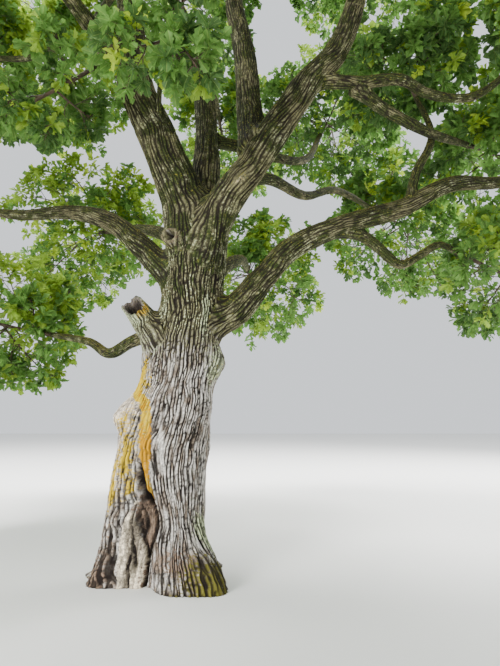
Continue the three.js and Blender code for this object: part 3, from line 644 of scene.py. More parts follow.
def new_piece(name, points, faces, materials, marks=None, tones=None, soft=True):
    """Makes a mesh object from whole arrays of points and faces, with named marks on its
    points and a material for each face, and lets it ride on the model's body."""
    mesh = bpy.data.meshes.new(name)
    mesh.vertices.add(len(points))
    mesh.vertices.foreach_set("co", np.asarray(points, np.float32).ravel())
    loops = np.concatenate([part.ravel() for part in faces])
    sizes = np.concatenate([np.full(len(part), part.shape[1]) for part in faces])
    mesh.loops.add(len(loops))
    mesh.loops.foreach_set("vertex_index", loops.astype(np.int32))
    mesh.polygons.add(len(sizes))
    mesh.polygons.foreach_set("loop_start", (np.cumsum(sizes) - sizes).astype(np.int32))
    for material in materials:
        mesh.materials.append(material)
    if tones is not None:
        mesh.polygons.foreach_set("material_index", tones.astype(np.int32))
    mesh.polygons.foreach_set("use_smooth", np.full(len(sizes), soft))
    for label, values in (marks or {}).items():
        values = np.asarray(values, np.float32)
        if values.ndim == 2:
            mesh.attributes.new(label, "FLOAT_VECTOR", "POINT").data.foreach_set(
                "vector", values.ravel())
        else:
            mesh.attributes.new(label, "FLOAT", "POINT").data.foreach_set("value", values)
    mesh.update(calc_edges=True)
    piece = bpy.data.objects.new(name, mesh)
    bpy.context.scene.collection.objects.link(piece)
    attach(piece, BODY)
    return piece


def bark_piece(name, points, marks, material):
    """A piece of bark from a grid of rings: the marks are grids too, and the point at the
    middle of each end takes the mean of its ring."""
    rings, columns = points.shape[:2]
    flat = np.vstack([points.reshape(-1, 3), points[0].mean(0), points[-1].mean(0)])

    def flattened(grid):
        grid = np.broadcast_to(grid, (rings, columns) + grid.shape[2:])
        ends = np.stack([grid[0].mean(0), grid[-1].mean(0)])
        return np.concatenate([grid.reshape(-1, *grid.shape[2:]), ends])

    marks = {label: flattened(grid) for label, grid in marks.items()}
    faces = [ring_quads(rings, columns), end_fans(rings, columns)]
    return new_piece(name, flat, faces, [material], marks)


def add(tree, kind, inputs=None, **settings):
    """Adds a shader node with its settings. Each input is a value or a socket to link, and a
    colour's alpha is 1."""
    node = tree.nodes.new("ShaderNode" + kind)
    for key, value in settings.items():
        setattr(node, key, value)
    for key, value in (inputs or {}).items():
        if isinstance(value, bpy.types.NodeSocket):
            tree.links.new(value, node.inputs[key])
        elif node.inputs[key].type == "RGBA":
            node.inputs[key].default_value = (*value, 1)
        else:
            node.inputs[key].default_value = value
    return node


def empty_material(name):
    """A new material with no nodes, and its tree."""
    material = bpy.data.materials.new(name)
    material.use_nodes = True
    material.node_tree.nodes.clear()
    return material, material.node_tree


def broken_mark(tree, label, noise, high):
    """A mark broken up by noise from 0 to 1, as lichen and moss grow in patches: none where the
    mark is 0, and whole patches where the two together pass the high value."""
    mark = add(tree, "Attribute", attribute_name=label)
    total = add(tree, "Math", {0: mark.outputs["Fac"], 1: 1.4, 2: noise},
                operation="MULTIPLY_ADD")
    return add(tree, "MapRange", {"Value": total.outputs[0], "From Min": 1.02, "From Max": high},
               interpolation_type="SMOOTHSTEP").outputs["Result"]


def oak_bark(colours):
    """Weathered oak bark: dull, grey ridges over furrows darkened with painted shade, so that the
    relief reads. Bare wood, lichens and moss break the grey in patches, painted shade darkens the bark
    under the crown, and rot and bare wood are streaked."""
    material, tree = empty_material("oak_bark")
    grain = add(tree, "Attribute", attribute_name="grain").outputs["Vector"]
    # One mottle in 140 mm, and fibres 6 mm apart that run four times as far along the limb.
    mottle = add(tree, "TexNoise", {"Vector": grain, "Scale": 7, "Detail": 4, "Roughness": 0.6})
    stretched = add(tree, "Mapping", {"Vector": grain, "Scale": (1, 1, 0.25)})
    fibre = add(tree, "TexNoise", {"Vector": stretched.outputs[0], "Scale": 160, "Detail": 5,
                                   "Roughness": 0.65})
    # Crusts of lichen are 10 to 30 mm across, and cracks on the ridges 14 mm apart.
    crust = add(tree, "TexNoise", {"Vector": grain, "Scale": 45, "Detail": 6, "Roughness": 0.7})
    fissure = add(tree, "TexVoronoi", {"Vector": stretched.outputs[0], "Scale": 70},
                  feature="DISTANCE_TO_EDGE")
    # Weathered wood is streaked 20 mm apart, drawn coarser than its fibres so that it shows.
    drawn_out = add(tree, "Mapping", {"Vector": grain, "Scale": (1, 1, 0.14)})
    streak = add(tree, "TexNoise", {"Vector": drawn_out.outputs[0], "Scale": 50, "Detail": 3})
    # Each pattern darkens the bark where it is low and lightens it where it is high.
    shades = [(streak.outputs["Fac"], 0.4, 0.6, -0.55, 0.15),
              (fibre.outputs["Fac"], 0.35, 0.65, 0.68, 1.12),
              (fissure.outputs["Distance"], 0, 0.12, 0.6, 1.06),
              (crust.outputs["Fac"], 0.38, 0.62, 0.56, 1.42)]
    streaks, fibres, fissured, flecks = (
        add(tree, "MapRange", {"Value": value, "From Min": low, "From Max": high,
                               "To Min": darkest, "To Max": lightest}).outputs["Result"]
        for value, low, high, darkest, lightest in shades)
    streaked = add(tree, "Attribute", attribute_name="streaked")
    streaks = add(tree, "Math", {0: streaks, 1: streaked.outputs["Fac"], 2: 1.0},
                  operation="MULTIPLY_ADD").outputs[0]
    grained = fibres
    for factor in (fissured, flecks, streaks):
        grained = add(tree, "Math", {0: grained, 1: factor}, operation="MULTIPLY").outputs[0]
    # Two of the patterns drawn out from 0 to 1, so that patches have clear edges.
    small, broad = (
        add(tree, "MapRange", {"Value": noise.outputs["Fac"], "From Min": 0.34,
                               "From Max": 0.66}).outputs["Result"]
        for noise in (crust, mottle))

    def covered(colour, layers):
        for label, noise, high, above in layers:
            share = broken_mark(tree, label, noise, high)
            mixed = {MIX_SHARE: share, MIX_BELOW: colour, MIX_ABOVE: above}
            colour = add(tree, "Mix", mixed, data_type="RGBA").outputs[MIX_RESULT]
        return colour

    tone = add(tree, "Attribute", attribute_name="tone")
    tone = add(tree, "Math", {0: mottle.outputs["Fac"], 1: tone.outputs["Fac"]})
    tone = add(tree, "MapRange", {"Value": tone.outputs[0], "From Min": 0.6, "From Max": 1.25})
    colour = add(tree, "Mix", {
        MIX_SHARE: tone.outputs["Result"], MIX_BELOW: colours.ridge_dark,
        MIX_ABOVE: colours.ridge}, data_type="RGBA").outputs[MIX_RESULT]
    # The crown and shade layers are partly painted shade under the leaves; the others are the bark's
    # own colours.
    colour = covered(colour, [
        ("warm", small, 1.45, colours.warm_bark), ("crown", small, 1.5, colours.crown_bark),
        ("worn", small, 1.35, colours.bare_burl), ("pale", small, 1.25, colours.pale_lichen),
        ("shade", broad, 1.6, colours.crown_shade), ("wood", broad, 1.2, colours.dead_wood)])
    colour = add(tree, "VectorMath", {0: colour, "Scale": grained}, operation="SCALE").outputs[0]
    colour = covered(colour, [
        ("moss", small, 1.35, colours.moss), ("yellow", small, 1.25, colours.yellow_lichen),
        ("orange", small, 1.25, colours.orange_lichen)])
    # The furrow mark paints shade into the furrows, cuts and hollows.
    furrow = add(tree, "Attribute", attribute_name="furrow")
    colour = add(tree, "Mix", {
        MIX_SHARE: furrow.outputs["Fac"], MIX_BELOW: colour, MIX_ABOVE: colours.furrow},
        data_type="RGBA").outputs[MIX_RESULT]
    height = add(tree, "Math", {0: fibre.outputs["Fac"], 1: fissured})
    bump = add(tree, "Bump", {"Height": height.outputs[0], "Strength": 0.6, "Distance": 0.006})
    shader = add(tree, "BsdfPrincipled", {"Base Color": colour, "Roughness": 0.93,
                                          "Specular IOR Level": 0.2,
                                          "Normal": bump.outputs[0]})
    add(tree, "OutputMaterial", {"Surface": shader.outputs[0]})
    return material


def twig_bark(colours):
    """Young oak bark: smooth and a little glossy, a grey-brown darkened with painted shade, as of
    twigs seen against the light, with paler breathing pores.
    """
    material, tree = empty_material("young_oak_bark")
    place = add(tree, "TexCoord").outputs["Object"]
    # Patches of 60 mm, drawn coarser than the pores so that they show.
    patch = add(tree, "TexNoise", {"Vector": place, "Scale": 16, "Detail": 3})
    tint = add(tree, "MapRange", {"Value": patch.outputs["Fac"], "From Min": 0.35,
                                  "From Max": 0.65, "To Max": 0.45})
    colour = add(tree, "Mix", {
        MIX_SHARE: tint.outputs["Result"], MIX_BELOW: colours.twig,
        MIX_ABOVE: colours.warm_bark}, data_type="RGBA").outputs[MIX_RESULT]
    shader = add(tree, "BsdfPrincipled", {"Base Color": colour, "Roughness": 0.7,
                                          "Specular IOR Level": 0.3})
    add(tree, "OutputMaterial", {"Surface": shader.outputs[0]})
    return material


def oak_leaf(name, colour, colours):
    """Oak leaf: leathery, with a soft sheen and a paler midrib. Light comes through it, so a
    leaf seen from below glows yellow-green."""
    material, tree = empty_material(name)
    place = add(tree, "TexCoord").outputs["Object"]
    # One mottle in 110 mm, with finer ones in it, so that neighbouring leaves differ.
    spray = add(tree, "TexNoise", {"Vector": place, "Scale": 9, "Detail": 4})
    light = add(tree, "MapRange", {"Value": spray.outputs["Fac"], "From Min": 0.3,
                                   "From Max": 0.7, "To Min": 0.7, "To Max": 1.25})
    tinted = add(tree, "VectorMath", {0: (*colour,), "Scale": light.outputs["Result"]},
                 operation="SCALE").outputs[0]
    rib = add(tree, "Attribute", attribute_name="rib")
    rib = add(tree, "MapRange", {"Value": rib.outputs["Fac"], "From Min": 0.88, "From Max": 1,
                                 "To Max": 0.6})
    tinted = add(tree, "Mix", {
        MIX_SHARE: rib.outputs["Result"], MIX_BELOW: tinted, MIX_ABOVE: colours.midrib},
        data_type="RGBA").outputs[MIX_RESULT]
    surface = add(tree, "BsdfPrincipled", {"Base Color": tinted, "Roughness": 0.5,
                                           "Specular IOR Level": 0.25})
    through = add(tree, "BsdfTranslucent", {"Color": tinted})
    shader = add(tree, "MixShader", {0: 0.5, 1: surface.outputs[0], 2: through.outputs[0]})
    add(tree, "OutputMaterial", {"Surface": shader.outputs[0]})
    return material


class OAK_OT_trunk(bpy.types.Operator):
    """Makes the trunk with its bark, hollow, burls, lichen and moss"""

    bl_idname = "oak.trunk"
    bl_label = "Trunk"

    def execute(self, context):
        sizes, colours = context.scene.oak_sizes, context.scene.oak_colours
        points, marks = trunk_surface(sizes)
        piece = bark_piece("trunk_bark", points, marks, oak_bark(colours))
        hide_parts("trunk")
        return {"FINISHED"}


def split_wide_ridges(relief, angle, metres):
    """Sinks the middle column of each ridge where the ridge is wide, so that it becomes two."""
    columns = len(TRUNK_RIDGE)
    furrow = angle[:, ::columns]
    wide = turn_between(np.roll(furrow, -1, axis=1), furrow) * metres[:, ::columns]
    relief = relief.copy()
    relief[:, columns // 2 :: columns] -= 0.85 * smooth(*WIDE_RIDGE, wide)
    return relief


def even_turn(turn):
    """The turn round the trunk that gives ridges of even width on its uneven outline: the share
    of the outline at knee height that lies before each angle, read backwards."""
    fine = np.linspace(0, 1, 1441)
    outline = np.cumsum(trunk_radius(fine * 360 + 90, 0.75))
    outline = (outline - outline[0]) / (outline[-1] - outline[0])
    whole = np.floor(turn)
    return whole + np.interp(turn - whole, outline, fine)


class TrunkGrid:
    """Angles and heights of the trunk's surface, with soft noise and masks on it. A mask goes
    from 0 to 1."""

    def __init__(self, angle, height):
        self.angle = angle
        self.height = height
        self.radius = trunk_radius(angle, height)
        self.metres = math.radians(1) * self.radius  # along the surface for each degree

    def noise(self, columns, row, seed):
        """Noise from -1 to 1, with a number of columns round the trunk and rows of a height."""
        return wave(self.angle / 360 * columns, self.height / row, columns, seed)

    def near(self, angle, spread):
        """A mask round an angle, with its spread in degrees."""
        return bell(turn_between(self.angle, angle), spread)

    def spot(self, angle, height, wide, high):
        """A mask round a place, with its reach across and along in metres."""
        across = turn_between(self.angle, angle) * self.metres
        return bell(across, wide) * bell(self.height - height, high)

    def spots(self, rows):
        """The sum of several spots, each times its strength."""
        return sum(strength * self.spot(*where) for strength, *where in rows)

    def zone(self, start, full, end, gone):
        """A mask of a stretch of height: it starts, is full, begins to end and is gone."""
        return smooth(start, full, self.height) * (1 - smooth(end, gone, self.height))

    def beside(self, line):
        """How many metres past a line each point lies, to the right on the trunk's front."""
        return turn_between(self.angle, line_at(line, self.height)) * self.metres

    def past(self, line, softness=0.008):
        """A mask of what lies past a line."""
        return smooth(-softness, softness, self.beside(line))


def trunk_grid(sizes):
    """The trunk's grid: rings at even heights, and columns that follow the bark's furrows. They
    drift to the right over hip height, part round the knots, and lean with the hollow's edge
    and with the slit beside the dead wood. Gives the grid, the bark's relief and its tones."""
    rise = np.linspace(0, TRUNK_HEIGHT, TRUNK_RINGS)
    turn, relief, tone = bark_net(
        TRUNK_GIRTH, sizes.furrow_spacing, rise, sizes.ridge_length, TRUNK_RIDGE, SEED)
    height = np.broadcast_to(rise[:, None], turn.shape)
    drift = smooth(1.2, 2.3, height) - 0.9 * smooth(2.5, 3.5, height)
    across = even_turn(turn) * TRUNK_GIRTH + GRAIN_DRIFT * drift
    for knot_angle, knot_height, size in TRUNK_KNOTS:
        knot = ((knot_angle - 90) / 360 * TRUNK_GIRTH, knot_height, size)
        across = round_knot(across, height, TRUNK_GIRTH, knot)
    angle = across / TRUNK_GIRTH * 360 + 90
    lean = line_at(CRACK_LINE, np.maximum(height, 0.54)) - 226
    angle = angle + 0.55 * lean * bell(angle - 258, 32)
    lean = line_at(SLIT_LINE, height) - 236
    angle = (angle + 0.9 * lean * bell(angle - 236, 21)) % 360
    grid = TrunkGrid(angle, height)
    return grid, split_wide_ridges(relief, angle, grid.metres), tone


def trunk_features(grid):
    """What the trunk's relief and colours share: the depth of its cuts in metres, masks of its
    dead wood, rot, knots and growths, and patterns from -1 to 1."""
    height = grid.height
    crack = bell(grid.beside(CRACK_LINE), line_at(CRACK_WIDTH, height))
    slit = 0.04 * bell(grid.beside(SLIT_LINE), 0.014) * (1 - 0.65 * smooth(0.36, 0.48, height))
    crease = 0.04 * bell(grid.beside(CREASE_LINE), 0.017) * grid.zone(2.08, 2.16, 2.5, 2.65)

    top_edge = 0.8 + 0.06 * wave(grid.angle / 360 * 60, np.zeros_like(height), 60, 8)
    wood = grid.past(DEAD_WOOD_LINE) * (1 - grid.past(SLIT_LINE, 0.016))
    wood = wood * (1 - smooth(top_edge - 0.06, top_edge + 0.04, height))
    wood_width = turn_between(line_at(SLIT_LINE, height), line_at(DEAD_WOOD_LINE, height))
    wood_share = turn_between(grid.angle, line_at(DEAD_WOOD_LINE, height)) / wood_width
    wobble = 0.05 * wave(np.zeros_like(height), height / 0.09, 3, 25)
    split = bell(wood_share - 0.55 - wobble, 0.05) * smooth(0.1, 0.25, height)
    split = split + 0.8 * bell(wood_share - 0.33 + wobble, 0.05) * (1 - smooth(0.25, 0.4, height))
    rot = grid.past(SLIT_LINE) * (1 - grid.past(CRACK_LINE)) * grid.zone(0.18, 0.3, 0.82, 0.9)

    scar = grid.spot(231, 3.5, 0.03, 0.036)
    rim = np.hypot(turn_between(grid.angle, 231) * grid.metres, height - 3.5)
    rim = bell(rim - 0.07, 0.024)
    patch = grid.noise(24, 0.16, 32)
    off_band = np.abs(turn_between(grid.angle, line_at(BAND_LINE, height)))
    band = 1 - smooth(0.5, 1.15, off_band / line_at(BAND_WIDTH, height) + 0.2 * patch)
    buttress = grid.near(206, 15) * (1 - smooth(1.75, 2.05, height))
    return SimpleNamespace(
        crack=crack * line_at(CRACK_DEPTH, height), slit=slit * (1 - smooth(0.62, 0.8, height)),
        crease=crease, wood=wood, wood_share=wood_share, split=split * wood, rot=rot, scar=scar,
        rim=rim, knot=np.clip(scar + rim, 0, 1), burl=grid.spot(201, 1.63, 0.1, 0.13),
        side_burl=grid.spot(338, 2.13, 0.13, 0.22), under_stub=grid.spot(219, 1.96, 0.06, 0.16),
        strip=bell(grid.beside(STRIP_LINE), 0.024) * grid.zone(0.98, 1.1, 1.46, 1.58),
        band=band * grid.zone(0.64, 0.74, 1.95, 2.25),
        upper_buttress=buttress * smooth(0.66, 0.95, height),
        lower_buttress=buttress * (1 - smooth(0.5, 0.75, height)),
        patch=patch, streak=grid.noise(120, 0.22, 31), fleck=grid.noise(150, 0.045, 33),
        groove=grid.noise(110, 0.6, 21), fine_groove=grid.noise(230, 0.4, 23),
        rot_streak=wave(grid.beside(CRACK_LINE) / 0.017, height / 0.24, 64, 27))


def bark_cover(on):
    """How much of the bark's relief there is: none on dead wood, less on burls and scars."""
    cover = (1 - on.wood) * (1 - 0.8 * on.rot) * (1 - 0.45 * on.burl) * (1 - 0.85 * on.strip)
    cover = cover * (1 - 0.15 * on.side_burl) * (1 - np.clip(1.3 * on.scar, 0, 1))
    return cover * (1 - 0.2 * on.band) * (1 - 0.2 * on.upper_buttress) * (1 - 0.75 * on.rim)


def trunk_points(grid, on, relief, sizes):
    """The trunk's points: at each angle and height the source's radius with lumps of three
    sizes and the relief, less the cuts, grooved in the dead wood and the rot, and round the
    leaning axis."""
    lumps = 0.016 * grid.noise(7, 0.33, 5) + 0.008 * grid.noise(19, 0.14, 6)
    lumps = lumps + 0.0045 * grid.noise(160, 0.035, 7)
    radius = grid.radius + lumps - on.crack - on.slit - on.crease + sizes.furrow_depth * relief
    radius = radius + on.wood * (0.022 * on.groove + 0.009 * on.fine_groove) - 0.03 * on.split
    radius = radius + on.rot * (0.02 * on.rot_streak + 0.008 * on.fine_groove - 0.014)
    radius = radius - 0.1 * on.scar + 0.035 * on.rim
    radius = radius + 0.016 * on.burl * grid.noise(45, 0.07, 22)
    middle = TRUNK_FOOT_SHIFT + TRUNK_LEAN * grid.height
    spin = np.radians(grid.angle)
    return np.stack([middle + radius * np.cos(spin), radius * np.sin(spin), grid.height], -1)


def lichen_marks(grid, on, relief):
    """Where the trunk has yellow and pale lichen."""
    height = grid.height
    yellow = on.upper_buttress * (0.42 + 0.25 * on.patch + 0.2 * on.streak) * (1 - 0.8 * on.burl)
    yellow = yellow + grid.spots(YELLOW_SPOTS) + 0.65 * on.band
    yellow = yellow + 0.5 * grid.near(208, 9) * bell(height - 2.08, 0.18)
    yellow = yellow + 0.3 * grid.near(213, 7) * bell(height - 1.3, 0.3)
    yellow = yellow + on.side_burl * (0.22 + 0.15 * on.fleck)
    yellow = yellow + on.under_stub * (0.3 + 0.2 * on.fleck)
    crest = smooth(-0.3, -0.02, relief)
    pale = on.side_burl * (0.8 + 0.2 * on.patch + 0.2 * on.fleck) + grid.spots(PALE_SPOTS)
    pale = pale + smooth(2.05, 2.6, height) * (0.14 + 0.15 * on.patch + 0.08 * crest)
    pale = pale + 0.25 * grid.near(222, 16) * bell(height - 2.75, 0.45)
    return yellow, np.clip(pale, 0, 0.8) * (1 - 0.85 * on.rim)


def dark_mark(grid, on, relief):
    """Where the trunk is as dark as the bottom of a furrow, in its cuts, furrows and rot: painted
    shade in the furrows, the crack, the slit, the crease, the knot's hole, the dead wood's grooves and
    splits and the rot's grooves, darker towards the rot's top, and dark flecks of the bark's own.
    """
    dark = np.clip(on.crack / 0.04, 0, 1) + np.clip(on.slit / 0.035, 0, 1)
    dark = dark + 0.85 * np.clip(on.crease / 0.03, 0, 1) + np.clip(1.5 * on.scar, 0, 1)
    dark = dark + on.wood * 0.75 * smooth(0.05, 0.5, -on.groove - 0.5 * on.fine_groove) + on.split
    dark = dark + on.rot * (0.05 + 0.8 * smooth(0, 0.45, -on.rot_streak)
                            + 0.6 * smooth(0.68, 0.8, grid.height))
    furrow = 0.95 - 0.2 * on.band - 0.15 * on.upper_buttress - 0.15 * on.side_burl
    full = 0.6 - 0.15 * crown_share(grid.height)
    dark = np.maximum(dark, furrow * smooth(0.08, full, -relief))
    flecks = (0.25 + 0.5 * on.lower_buttress) * smooth(0.1, 0.6, on.fleck)
    return np.clip(dark + flecks * (1 - on.wood), 0, 1)


def trunk_marks(grid, on, relief, tone, upward):
    """The marks that colour the trunk, from about 0 to 1, and the place of each point in the
    bark's grain."""
    height, spin = grid.height, np.radians(grid.angle)
    worn = 0.85 * on.burl + on.upper_buttress * (0.72 + 0.25 * on.patch) + 0.35 * on.band
    worn = worn + on.under_stub * (0.4 + 0.2 * on.patch)
    yellow, pale = lichen_marks(grid, on, relief)
    foot = 1 - smooth(0.12, 0.5, height)
    root = grid.near(318, 22) * (1 - smooth(0.1, 0.42, height))
    bare = on.wood * (1 - 0.7 * smooth(0.58, 0.74, height))
    bare = bare * (1 - 0.55 * smooth(0.62, 0.8, on.wood_share))
    brown = 0.8 * on.rot + 0.28 * foot + 0.45 * on.lower_buttress * (1 + 0.5 * on.fleck) + on.rim
    brown = brown + 0.4 * grid.spot(288, 0.3, 0.25, 0.15) + 0.5 * root + on.wood - bare
    orange = on.band * (0.6 + 0.4 * on.streak + 0.3 * on.patch)
    moss = root * (0.52 + 0.25 * on.patch) + 0.3 * foot * smooth(0.2, 0.6, upward)
    # Painted shade under the crown: darker past the stub and on upward faces, but not on the knot.
    shade = smooth(2.1, 3.3, height) * (0.55 + 0.3 * smooth(0.1, 0.6, upward))
    return {
        "grain": np.stack([GRAIN_RADIUS * np.cos(spin), GRAIN_RADIUS * np.sin(spin), height], -1),
        "furrow": dark_mark(grid, on, relief),
        "tone": np.clip(tone + 0.6 * on.strip + 0.25 * on.fleck, 0, 1),
        "warm": np.clip(brown, 0, 1),
        "worn": np.clip(worn, 0, 1),
        "orange": orange * (1 - 0.3 * smooth(1.55, 1.8, height)),
        "yellow": yellow,
        "pale": pale,
        "moss": moss + 0.6 * np.clip(on.crease / 0.03, 0, 1),
        "wood": bare,
        "streaked": np.clip(on.wood + on.rot, 0, 1),
        "crown": crown_share(height) * (1 - 0.4 * on.knot),
        "shade": shade * (1 - on.knot),
    }


def trunk_surface(sizes):
    """The trunk's points and the marks that colour them."""
    grid, relief, tone = trunk_grid(sizes)
    on = trunk_features(grid)
    relief = relief * bark_cover(on)
    points = trunk_points(grid, on, relief, sizes)
    return points, trunk_marks(grid, on, relief, tone, surface_normals(points)[..., 2])


class OAK_OT_limbs(bpy.types.Operator):
    """Makes the leaders, limbs and branches with their bark"""

    bl_idname = "oak.limbs"
    bl_label = "Limbs"

    def execute(self, context):
        sizes = context.scene.oak_sizes
        material = bpy.data.materials["oak_bark"]
        for number, limb in enumerate(LIMBS):
            points, marks = limb_surface(limb, number, sizes)
            piece = bark_piece(limb["name"] + "_bark", points, marks, material)
            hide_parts(limb["name"])
        return {"FINISHED"}


def add_fillet(limb, number, path, out, radius, sizes):
    """Adds a fillet to a limb's radius, towards the trunk and the limbs that it grows beside,
    over the part of the limb that they come near."""
    root, rings = limb["radius"][0], len(path)
    length = np.linalg.norm(np.diff(path, axis=0), axis=1).sum()
    near = [limb_skeleton(other) for other in LIMBS[:number]
            if other["name"] == limb["from"] or other["from"] == limb["from"]]
    reach = rings if length < 1.2 else max(8, round(rings * min(1, (9 * root + 0.7) / length)))

    def gap(places):
        gaps = [limb_gap(places, other) for other in near]
        return np.min([trunk_gap(places), *gaps], axis=0)

    fillet = fillet_at_root(path[:reach, None], out[:reach], radius[:reach], gap,
                            sizes.fillet * root)
    fade = 1 - smooth(0.75, 1, np.arange(reach) / reach)
    radius[:reach] += fillet * fade[:, None]


def limb_surface(limb, number, sizes):
    """A limb as rings along its path: the source's radius, slow lumps, a fillet at its root, a
    rounded start inside its parent, a knot with a lip at its lower right, and bark that gets
    finer with the radius. A limb with no foliage ends in a broken, hollow rim."""
    root = limb["radius"][0]
    stout = root >= STOUT_LIMB
    points = limb_points(limb)
    rings = round(curve_through(points, 2)[1] / (STOUT_RING if stout else SLIM_RING))
    path, length = curve_through(points, rings)
    heading, side, up = frames_along(path)
    coarse = LIMB_BARK * min(1, max(0.55, root / 0.2))
    turn, relief, tone = bark_net(
        2 * math.pi * root, sizes.furrow_spacing * coarse, np.linspace(0, length, rings),
        sizes.ridge_length * coarse, STOUT_RIDGE if stout else SLIM_RIDGE, SEED + 10 * number)
    share = np.broadcast_to(np.linspace(0, 1, rings)[:, None], turn.shape)
    spin = 2 * math.pi * turn
    out = np.cos(spin)[..., None] * side[:, None] + np.sin(spin)[..., None] * up[:, None]
    along = share * length
    radius = limb_radius(limb, share, length)
    depth = sizes.furrow_depth * np.clip(radius / 0.2, 0.12, 1)
    radius = radius * (1 + 0.07 * wave(turn * 4, along / (3.2 * root), 4, 300 + number))
    radius = radius * (1 + 0.05 * wave(turn * 9, along / (1.3 * root), 9, 400 + number))
    add_fillet(limb, number, path, out, radius, sizes)
    place, size = LIMB_KNOTS.get(limb["name"], NO_KNOT)
    off_knot = path[:, None] + out * radius[..., None] - place
    knot = bell(np.linalg.norm(off_knot, axis=2), size)
    lip = knot * smooth(-0.1, 0.5, (off_knot[..., 0] - off_knot[..., 2]) / size)
    relief = relief * (1 - 0.6 * knot)
    radius = radius + depth * relief + 0.5 * size * lip + 0.2 * size * knot
    left = np.clip(1 - along / (0.8 * root), 0, 1)
    radius = radius * np.sqrt(1 - 0.96 * left**2)
    surface = path[:, None] + out * radius[..., None]
    patch = wave(turn * 3, along / 0.35, 3, 500 + number)
    # How far a limb runs into its mass's leaves, which paint shade on its bark and let moss grow on
    # its top.
    overhung = smooth(0, 3 * root, along) if "mass" in limb else 0
    marks = limb_marks(surface, relief, patch, overhung, knot, lip, 1 - smooth(0.07, 0.2, root))
    marks["grain"] = np.stack([root * np.cos(spin), root * np.sin(spin), along], -1)
    marks["tone"] = tone
    if "mass" not in limb:
        surface, marks = broken_end(surface, marks, heading[-1], out[-1], turn[-1])
    return surface, marks


def limb_marks(surface, relief, patch, overhung, knot, lip, slim):
    """The marks that colour a limb, from about 0 to 1: greener, and darker with painted shade, on its
    upper side, where leaves hang over it and where it is slim, and brown round its knot, with painted
    shade in the knot's hole."""
    height, upward = surface[..., 2], surface_normals(surface)[..., 2]
    low = overhung * (1 - crown_share(height)) * smooth(0.1, 0.9, upward)
    shade = 0.48 + 0.24 * slim + 0.3 * smooth(-0.5, 0.7, upward) + 0.2 * patch
    shaded = np.maximum(crown_share(height - 0.2), 0.9 * overhung)
    none = np.zeros(relief.shape)
    return {
        # Painted shade in the furrows, and in the knot's hole above its lip.
        "furrow": np.clip(0.96 * smooth(0.06, 0.5, -relief) + 0.5 * (knot - lip), 0, 1),
        "warm": 0.2 + 0.2 * patch + 0.7 * knot,
        "worn": 0.45 * lip,
        "orange": none,
        "yellow": 0.04 + 0.08 * patch + 0.05 * upward + 0.28 * lip + 0.2 * low,
        "pale": (0.24 + 0.2 * patch + 0.06 * smooth(-0.3, -0.02, relief)) * (1 - knot),
        "moss": 0.26 + 0.3 * smooth(0.1, 0.9, upward) + 0.3 * low,
        "wood": none,
        "streaked": none,
        "crown": np.maximum(crown_share(height), 0.9 * overhung),
        "shade": np.clip(shade, 0, 1) * shaded * (1 - 0.8 * knot),
    }


def broken_end(surface, marks, heading, out, turn):
    """A stub's broken, hollow end: its last rings are drawn back along the heading, least at
    the back and most at the front, with jagged teeth, and a wall of even thickness goes back
    inside from the rim."""
    rings, deeper = len(surface), 12
    front = out @ unit(np.array([0.1, -1, -0.2]))
    drop = 0.02 + 0.14 * smooth(-0.3, 0.85, front)
    drop = drop + 0.05 * np.abs(wave(turn * 15, np.full(turn.shape, 0.5), 15, 61))
    ramp = smooth(0.4, 1, np.linspace(0, 1, rings))[:, None]
    surface = surface - heading * (ramp * drop)[..., None]
    inward = surface[-1] - surface[-1].mean(0)
    inward = inward - (inward @ heading)[:, None] * heading
    deep = np.linspace(0, 1, deeper)[:, None, None]
    inner = surface[-1] + inward * (np.where(deep < 0.04, 0.8, 0.74 - 0.45 * deep**2) - 1)
    inner = inner - heading * deep * STUB_DEPTH
    # Inside the hollow the furrow colour deepens with depth: painted shade.
    inside = {"furrow": 0.5 + 0.46 * smooth(0, 0.4, deep[..., 0]), "warm": 0.5, "grain": inner,
              "shade": 0.2, "pale": 0.2, "tone": 0.4, "streaked": 1}
    both = {}
    for label, grid in marks.items():
        shape = (deeper,) + grid.shape[1:]
        both[label] = np.concatenate([grid, np.broadcast_to(inside.get(label, 0), shape)])
    near_rim = smooth(0.6, 1, np.linspace(0, 1, rings))[:, None]
    lower_right = smooth(0.1, 0.9, out @ unit(np.array([0.8, -0.6, -0.1])))
    both["orange"][:rings] += 0.4 * near_rim * lower_right
    both["yellow"][:rings] += 0.6 * near_rim * lower_right
    both["pale"][:rings] += 0.15 + 0.4 * near_rim
    both["shade"][:rings] *= 0.4
    return np.concatenate([surface, inner]), both


def stem_of(limb):
    """The source's stem of a mass: a quadratic curve from the tip of its limb past the mass's
    middle. Gives its three control points and its radius at the start."""
    path, radius = limb_skeleton(limb)
    tip, heading = path[-1], unit(path[-1] - path[-2])
    middle, size = np.array(limb["mass"][0]), limb["mass"][1]
    bend = tip + heading * STEM_BEND * size
    end = middle + heading * STEM_REACH * size
    return tip, bend, end, STEM_ROOT_SHARE * radius[-1]


def curve_at(start, bend, end, share):
    """Places and headings on quadratic curves."""
    place = (1 - share) ** 2 * start + 2 * share * (1 - share) * bend + share**2 * end
    return place, unit(2 * (1 - share) * (bend - start) + 2 * share * (end - bend))


